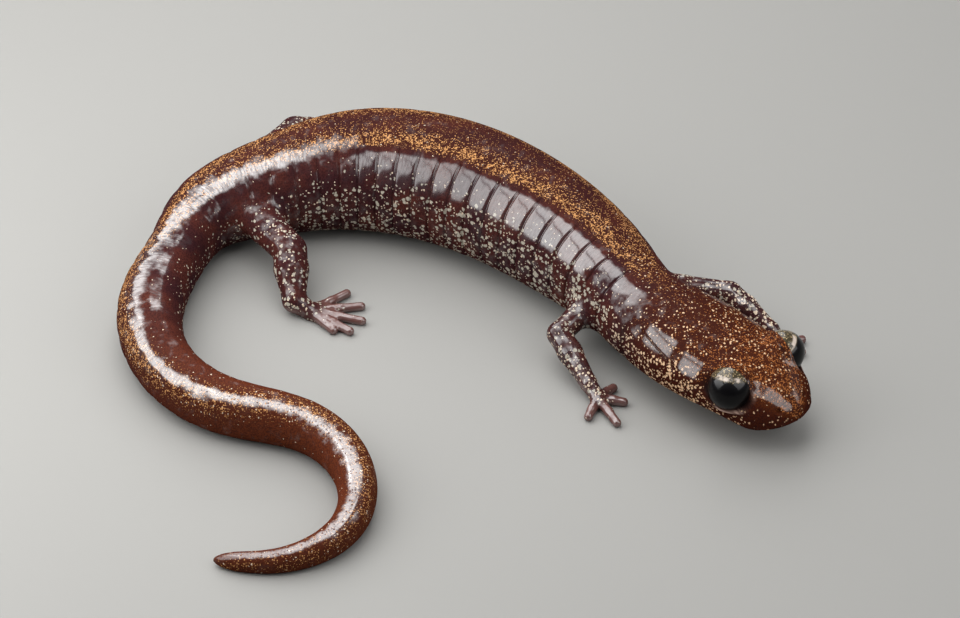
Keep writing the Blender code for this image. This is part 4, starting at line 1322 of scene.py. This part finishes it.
# %% Colours of the ground
GROUND = (0.042, 0.0135, 0.0155, 1)
GROUND_WARM = (0.085, 0.023, 0.017, 1)
TAIL_BROWN = (0.125, 0.03, 0.012, 1)
BELLY = (0.05, 0.03, 0.03, 1)
HEAD_BROWN = (0.055, 0.0125, 0.006, 1)
SNOUT_COPPER = (0.11, 0.026, 0.006, 1)
STIPPLE_DARK = (0.018, 0.007, 0.008, 1)
TOE_PINK = (0.135, 0.06, 0.052, 1)
# CREASE_SHADE is painted shade: a near-black ring in the crease round each eye.
CREASE_SHADE = (0.008, 0.005, 0.005, 1)
# LID_RIM_AND_HIGHLIGHT is the lower lid's pale margin, made lighter as a painted highlight on its shaded
# underside.
LID_RIM_AND_HIGHLIGHT = (0.7, 0.47, 0.38, 1)
CLOUD_SCALE, CLOUD_FROM, TAIL_BROWN_FROM = 420.0, (0.35, 0.7), (0.07, 0.09)
STIPPLE_SCALE, STIPPLE_FROM, STIPPLE_SHARE = 8000.0, (0.4, 0.62), 0.55


def new_material(name, colour):
    """A material with an empty Principled BSDF and the colour that a viewport shows."""
    made = bpy.data.materials.new(name)
    made.use_nodes = True
    made.diffuse_color = colour
    tree = made.node_tree
    return made, tree, next(n for n in tree.nodes if n.type == "BSDF_PRINCIPLED")


def ground_colour(tree, where):
    """Two tones in slow clouds, changed from zone to zone, with a fine dark stipple over them. Toes, the
    lids' rim with its painted highlight and the painted shade in the crease round the eyes come last, without
    stipple."""
    cloud = between(tree, noise(tree, where, CLOUD_SCALE, 3.0), *CLOUD_FROM)
    ground = mixed(tree, cloud, GROUND, GROUND_WARM)
    ground = mixed(tree, between(tree, attribute(tree, "along"), *TAIL_BROWN_FROM), ground, TAIL_BROWN)
    for zone, colour in (("belly", BELLY), ("head", HEAD_BROWN), ("snout", SNOUT_COPPER)):
        ground = mixed(tree, attribute(tree, zone), ground, colour)
    stipple = between(tree, noise(tree, where, STIPPLE_SCALE), *STIPPLE_FROM, 0.0, STIPPLE_SHARE)
    ground = mixed(tree, stipple, ground, STIPPLE_DARK)
    for zone, colour in (("toes", TOE_PINK), ("lid_crease_shade", CREASE_SHADE), ("lid_rim_and_highlight", LID_RIM_AND_HIGHLIGHT)):
        ground = mixed(tree, attribute(tree, zone), ground, colour)
    return ground


# %% Bronze and copper
BRONZE, BRONZE_DULL = (0.6, 0.3, 0.115, 1), (0.13, 0.045, 0.018, 1)
COPPER, BETWEEN_BRONZE = (0.38, 0.13, 0.038, 1), (0.045, 0.013, 0.008, 1)
BRONZE_PATCHES, GRAINS, SPARKS = 1500.0, 8500.0, 4800.0
PATCHES_FROM, PATCHES_THICK, DULL_TO = (0.25, 0.6), (0.45, 1.15), (0.15, 0.6)
BETWEEN_SHARE, SPARKS_SHARE = 0.8, 0.26


def with_bronze(tree, where, ground):
    """Fine grains of uneven tone and some larger sparks, over a darker ground between them. They are
    copper on the head, and dull where they lie thin."""
    bronze = attribute(tree, "bronze")
    ground = mixed(tree, maths(tree, "MULTIPLY", bronze, BETWEEN_SHARE), ground, BETWEEN_BRONZE)
    patches = between(tree, noise(tree, where, BRONZE_PATCHES, 3.0), *PATCHES_FROM, *PATCHES_THICK)
    thick = maths(tree, "MULTIPLY", bronze, patches)
    bright = mixed(tree, attribute(tree, "head"), BRONZE, COPPER)
    bright = mixed(tree, between(tree, bronze, *DULL_TO), BRONZE_DULL, bright)
    grains, tone = flecks(tree, where, GRAINS, thick)
    colour = mixed(tree, grains, ground, mixed(tree, tone, bright, BRONZE_DULL))
    sparks, _ = flecks(tree, where, SPARKS, maths(tree, "MULTIPLY", thick, SPARKS_SHARE))
    return mixed(tree, sparks, colour, bright)


# %% White flecks, and pale specks that are partly painted glints
WHITE_FLECK, WHITE_ON_HEAD = (0.42, 0.38, 0.31, 1), (0.62, 0.37, 0.22, 1)
# The small specks' colours are partly real pale specks and partly painted glints.
PALE_SPECK_AND_GLINT, SPECK_AND_GLINT_ON_HEAD = (0.7, 0.56, 0.42, 1), (0.72, 0.47, 0.28, 1)
WHITE_CLUMPS, LARGE_FLECKS, SMALL_SPECKS, RAGGED = 900.0, 2700.0, 4200.0, 0.8
CLUMPS_FROM, CLUMPS_THICK = (0.3, 0.65), (0.6, 1.15)


def with_white(tree, where, colour):
    """Large flecks in loose clumps and small bright specks over them, the specks partly painted glints, both
    creamier on the head.
    """
    clumps = between(tree, noise(tree, where, WHITE_CLUMPS), *CLUMPS_FROM, *CLUMPS_THICK)
    thick = maths(tree, "MULTIPLY", attribute(tree, "white"), clumps)
    large, _ = flecks(tree, where, LARGE_FLECKS, thick, RAGGED)
    colour = mixed(tree, large, colour, mixed(tree, attribute(tree, "head"), WHITE_FLECK, WHITE_ON_HEAD))
    pale_specks_and_glints, _ = flecks(tree, where, SMALL_SPECKS, attribute(tree, "specks_and_glints"), RAGGED)
    return mixed(tree, pale_specks_and_glints, colour, mixed(tree, attribute(tree, "head"), PALE_SPECK_AND_GLINT, SPECK_AND_GLINT_ON_HEAD))


# %% The film's weight
FILM_EDGE_SCALE, FILM_EDGE_FROM, FILM_EDGE_RAGGED = 1300.0, (0.25, 0.75), (-0.3, 0.3)
FILM_FROM, THIN_FILM = (0.08, 0.9), 0.01
PORES, PORES_FROM, PORES_THICK, PORES_RAGGED, PORE_STRENGTH = 4600.0, (0.078, 0.09), (0.0, 0.6), 0.3, 0.75
LINE_SCALE, LINES_FROM, LINE_STRENGTH, LINES_LONG = 5200.0, (0.38, 0.56), 0.45, (1.0, 0.28, 1.0)


def lines_across(tree):
    """Noise drawn out round the body, for lines that run across it: its place runs with distance
    along the body and more slowly with distance round it."""
    body_way = {"X": attribute(tree, "along"), "Y": attribute(tree, "round")}
    body_way = add(tree, "ShaderNodeCombineXYZ", body_way).outputs[0]
    drawn_out = add(tree, "ShaderNodeMapping", {"Vector": body_way, "Scale": LINES_LONG})
    return noise(tree, drawn_out.outputs[0], LINE_SCALE)


def skin_wetness(tree, where):
    """The film with ragged edges, broken by pores along the tail and by fine lines where the skin is
    wrinkled, times the gloss."""
    ragged = between(tree, noise(tree, where, FILM_EDGE_SCALE, 3.0), *FILM_EDGE_FROM, *FILM_EDGE_RAGGED)
    film = between(tree, maths(tree, "ADD", attribute(tree, "film"), ragged), *FILM_FROM, THIN_FILM, 1.0)
    thick = between(tree, attribute(tree, "along"), *PORES_FROM, *PORES_THICK)
    pores, _ = flecks(tree, where, PORES, thick, PORES_RAGGED)
    film = maths(tree, "MULTIPLY", film, maths(tree, "MULTIPLY_ADD", pores, -PORE_STRENGTH, 1.0))
    broken = maths(tree, "MULTIPLY_ADD", attribute(tree, "wrinkled"), -LINE_STRENGTH, 1.0)
    film = maths(tree, "MULTIPLY", film, between(tree, lines_across(tree), *LINES_FROM, broken, 1.0))
    return maths(tree, "MULTIPLY", film, attribute(tree, "gloss"))


# %% Fine relief, with heights in hundredths of a millimetre
PEBBLE_SCALE, PEBBLE_HEIGHT, SWELL_SCALE, SWELL_HEIGHT, WRINKLE_HEIGHT = 7000.0, 1.5, 1500.0, 2.6, 3.2
HUNDREDTH_MM = 0.01 * MM


def skin_height(tree, where):
    """Pebbles and slower swells all over, and wrinkles across the body where it is wrinkled."""
    wrinkled = maths(tree, "MULTIPLY", attribute(tree, "wrinkled"), WRINKLE_HEIGHT)
    wrinkles = maths(tree, "MULTIPLY", lines_across(tree), wrinkled)
    height = maths(tree, "MULTIPLY_ADD", noise(tree, where, PEBBLE_SCALE), PEBBLE_HEIGHT, wrinkles)
    return maths(tree, "MULTIPLY_ADD", noise(tree, where, SWELL_SCALE), SWELL_HEIGHT, height)


# %% The skin's shader
ROUGH_SCALE, ROUGH_FROM, ROUGH = 2400.0, (0.3, 0.7), (0.4, 0.55)
COAT_ROUGHNESS, COAT_IOR = 0.15, 3.0


def skin_material():
    """Wet skin: a matt base with fine relief under a strong clear coat."""
    made, tree, shader = new_material("wet skin", GROUND)
    where = add(tree, "ShaderNodeTexCoord").outputs["Object"]
    colour = with_white(tree, where, with_bronze(tree, where, ground_colour(tree, where)))
    tree.links.new(colour, shader.inputs["Base Color"])
    rough = between(tree, noise(tree, where, ROUGH_SCALE), *ROUGH_FROM, *ROUGH)
    tree.links.new(rough, shader.inputs["Roughness"])
    relief = {"Height": skin_height(tree, where), "Strength": 1.0, "Distance": HUNDREDTH_MM}
    tree.links.new(add(tree, "ShaderNodeBump", relief).outputs[0], shader.inputs["Normal"])
    tree.links.new(skin_wetness(tree, where), shader.inputs["Coat Weight"])
    shader.inputs["Coat Roughness"].default_value = COAT_ROUGHNESS
    shader.inputs["Coat IOR"].default_value = COAT_IOR
    shader.inputs["Specular IOR Level"].default_value = 0.0
    return made


body.data.materials.clear()
body.data.materials.append(skin_material())
print("The skin's material has", len(body.data.materials[0].node_tree.nodes), "nodes")

# %% [markdown]
# ## The eye's material
#
# At rest the eye is black but for its top, where the iris shows as an olive cap with brass flecks, and one
# pale belt across it, which is a painted highlight: the glint of the lamps on the wet cornea. An image could
# be painted for it, but the two numbers stored on the ball are enough: the angle from the look bounds the
# iris, and the height gives the cap and the belt. The wet cornea is a coat over all of it, as smooth as
# glass, and weaker below, where it would mirror the pale floor and make the eye grey.

# %% Colours of the eye, and where on the ball they lie
PUPIL, IRIS_OLIVE = (0.003, 0.0025, 0.003, 1), (0.05, 0.038, 0.02, 1)
# PAINTED_GLINT is a painted highlight: the pale belt stands for the lamps' glint on the cornea.
BRASS, PAINTED_GLINT = (0.4, 0.3, 0.16, 1), (0.62, 0.52, 0.44, 1)
PUPIL_RIM, IRIS_RIM, CAP_FROM = (0.22, 0.27), (1.0, 0.95), (0.44, 0.54)
BRASS_SCALE, BRASS_THICK, BRASS_RAGGED = 7500.0, 0.75, 1.0
BELT_FROM, BELT_TO, BELT_CLOUD, BELT_CLOUD_FROM = (0.5, 0.56), (0.72, 0.64), 900.0, (0.42, 0.54)
CORNEA_FROM, CORNEA_WEIGHT = (0.1, 0.5), (0.12, 1.0)
EYE_ROUGHNESS, EYE_SPECULAR, CORNEA_ROUGHNESS, CORNEA_IOR = 0.3, 0.1, 0.015, 1.42


def iris_colour(tree, where, up):
    """Black, with an olive cap on the iris above a height, brass flecks on it, and a painted highlight: a
    pale belt between two heights that slow noise breaks up, which stands for the lamps' glint on the cornea."""
    from_look = attribute(tree, "from_look")
    rims = between(tree, from_look, *PUPIL_RIM), between(tree, from_look, *IRIS_RIM)
    cap = maths(tree, "MULTIPLY", maths(tree, "MULTIPLY", *rims), between(tree, up, *CAP_FROM))
    colour = mixed(tree, cap, PUPIL, IRIS_OLIVE)
    brass, _ = flecks(tree, where, BRASS_SCALE, maths(tree, "MULTIPLY", cap, BRASS_THICK), BRASS_RAGGED)
    colour = mixed(tree, brass, colour, BRASS)
    glint_belt = maths(tree, "MULTIPLY", between(tree, up, *BELT_FROM), between(tree, up, *BELT_TO))
    cloud = between(tree, noise(tree, where, BELT_CLOUD, 3.0), *BELT_CLOUD_FROM)
    return mixed(tree, maths(tree, "MULTIPLY", glint_belt, cloud), colour, PAINTED_GLINT)


def eye_material():
    """A dark ball under a coat as smooth as glass."""
    made, tree, shader = new_material("eye", PUPIL)
    where = add(tree, "ShaderNodeTexCoord").outputs["Object"]
    up = attribute(tree, "up")
    tree.links.new(iris_colour(tree, where, up), shader.inputs["Base Color"])
    tree.links.new(between(tree, up, *CORNEA_FROM, *CORNEA_WEIGHT), shader.inputs["Coat Weight"])
    shader.inputs["Roughness"].default_value = EYE_ROUGHNESS
    shader.inputs["Specular IOR Level"].default_value = EYE_SPECULAR
    shader.inputs["Coat Roughness"].default_value = CORNEA_ROUGHNESS
    shader.inputs["Coat IOR"].default_value = CORNEA_IOR
    return made


eye_look = eye_material()
for ball in EYEBALLS.values():
    ball.data.materials.append(eye_look)
print("The eye's material has", len(eye_look.node_tree.nodes), "nodes")

# %% [markdown]
# ## Floor, lamps and camera
#
# The floor is a plain pale sheet. Sky light alone would leave the wet skin dull, because it is seen
# mostly by what it mirrors. So four soft boxes stand close round the animal, each larger than it, and
# where they stand decides where the glints lie. The camera looks down at 40 degrees past the animal's
# right flank, as a person would who kneels over it.

# %% Floor
FLOOR_SIZE, FLOOR_COLOUR, FLOOR_ROUGHNESS = 1.2, (0.3, 0.295, 0.28, 1), 0.75


def floor_sheet():
    """One large flat square on the ground."""
    half = FLOOR_SIZE / 2
    corners = [(-half, -half, 0), (half, -half, 0), (half, half, 0), (-half, half, 0)]
    sheet = mesh_from("floor", corners, [(0, 1, 2, 3)])
    made, _, shader = new_material("pale floor", FLOOR_COLOUR)
    shader.inputs["Base Color"].default_value = FLOOR_COLOUR
    shader.inputs["Roughness"].default_value = FLOOR_ROUGHNESS
    sheet.data.materials.append(made)
    return sheet


floor_sheet()

# %% Lamps: name, azimuth and elevation in degrees, distance, width and height in metres, brightness
LAMPS = (
    ("left box", -95.0, 38.0, 0.098, 0.112, 0.083, 3.0),
    ("top box", -100.0, 84.0, 0.16, 0.135, 0.13, 3.0),
    ("back box", -16.0, 42.0, 0.2, 0.21, 0.16, 3.0),
    ("right box", 112.0, 40.0, 0.2, 0.17, 0.16, 1.9),
)
WORLD_COLOUR, WORLD_STRENGTH = (0.9, 0.94, 1.0, 1), 0.12


def lamp(name, azimuth, elevation, distance, width, height, brightness):
    """A soft box that faces the animal from a direction: azimuth 0 is +Y and 90 is +X. Its power is
    pi times its area times how bright its face is."""
    light = bpy.data.lights.new(name, "AREA")
    light.shape = "RECTANGLE"
    light.size, light.size_y = width, height
    light.energy = brightness * math.pi * width * height
    made = bpy.data.objects.new(name, light)
    turn, rise = math.radians(azimuth), math.radians(elevation)
    made.location = (
        distance * math.cos(rise) * math.sin(turn),
        distance * math.cos(rise) * math.cos(turn),
        distance * math.sin(rise),
    )
    made.rotation_euler = (-made.location).to_track_quat("-Z", "Y").to_euler()
    bpy.context.scene.collection.objects.link(made)


for row in LAMPS:
    lamp(*row)
print("Set up", len(LAMPS), "soft boxes")
world = bpy.data.worlds.new("studio")
world.use_nodes = True
world.node_tree.nodes["Background"].inputs["Color"].default_value = WORLD_COLOUR
world.node_tree.nodes["Background"].inputs["Strength"].default_value = WORLD_STRENGTH
bpy.context.scene.world = world
bpy.context.scene.view_settings.view_transform = "Standard"

# %% Camera, in metres and millimetres of lens
CAMERA_AT, CAMERA_AIM = (0.001447, -0.24205, 0.20569), (0.001447, 0.00308, 0.0)
CAMERA_LENS, SENSOR, NEAREST, FARTHEST = 147.6, 36.0, 0.01, 10.0


def camera():
    """A long lens that looks down on the animal."""
    lens = bpy.data.cameras.new("camera")
    lens.lens, lens.sensor_width = CAMERA_LENS, SENSOR
    lens.clip_start, lens.clip_end = NEAREST, FARTHEST
    made = bpy.data.objects.new("camera", lens)
    made.location = CAMERA_AT
    made.rotation_euler = (Vector(CAMERA_AIM) - made.location).to_track_quat("-Z", "Y").to_euler()
    bpy.context.scene.collection.objects.link(made)
    bpy.context.scene.camera = made


camera()
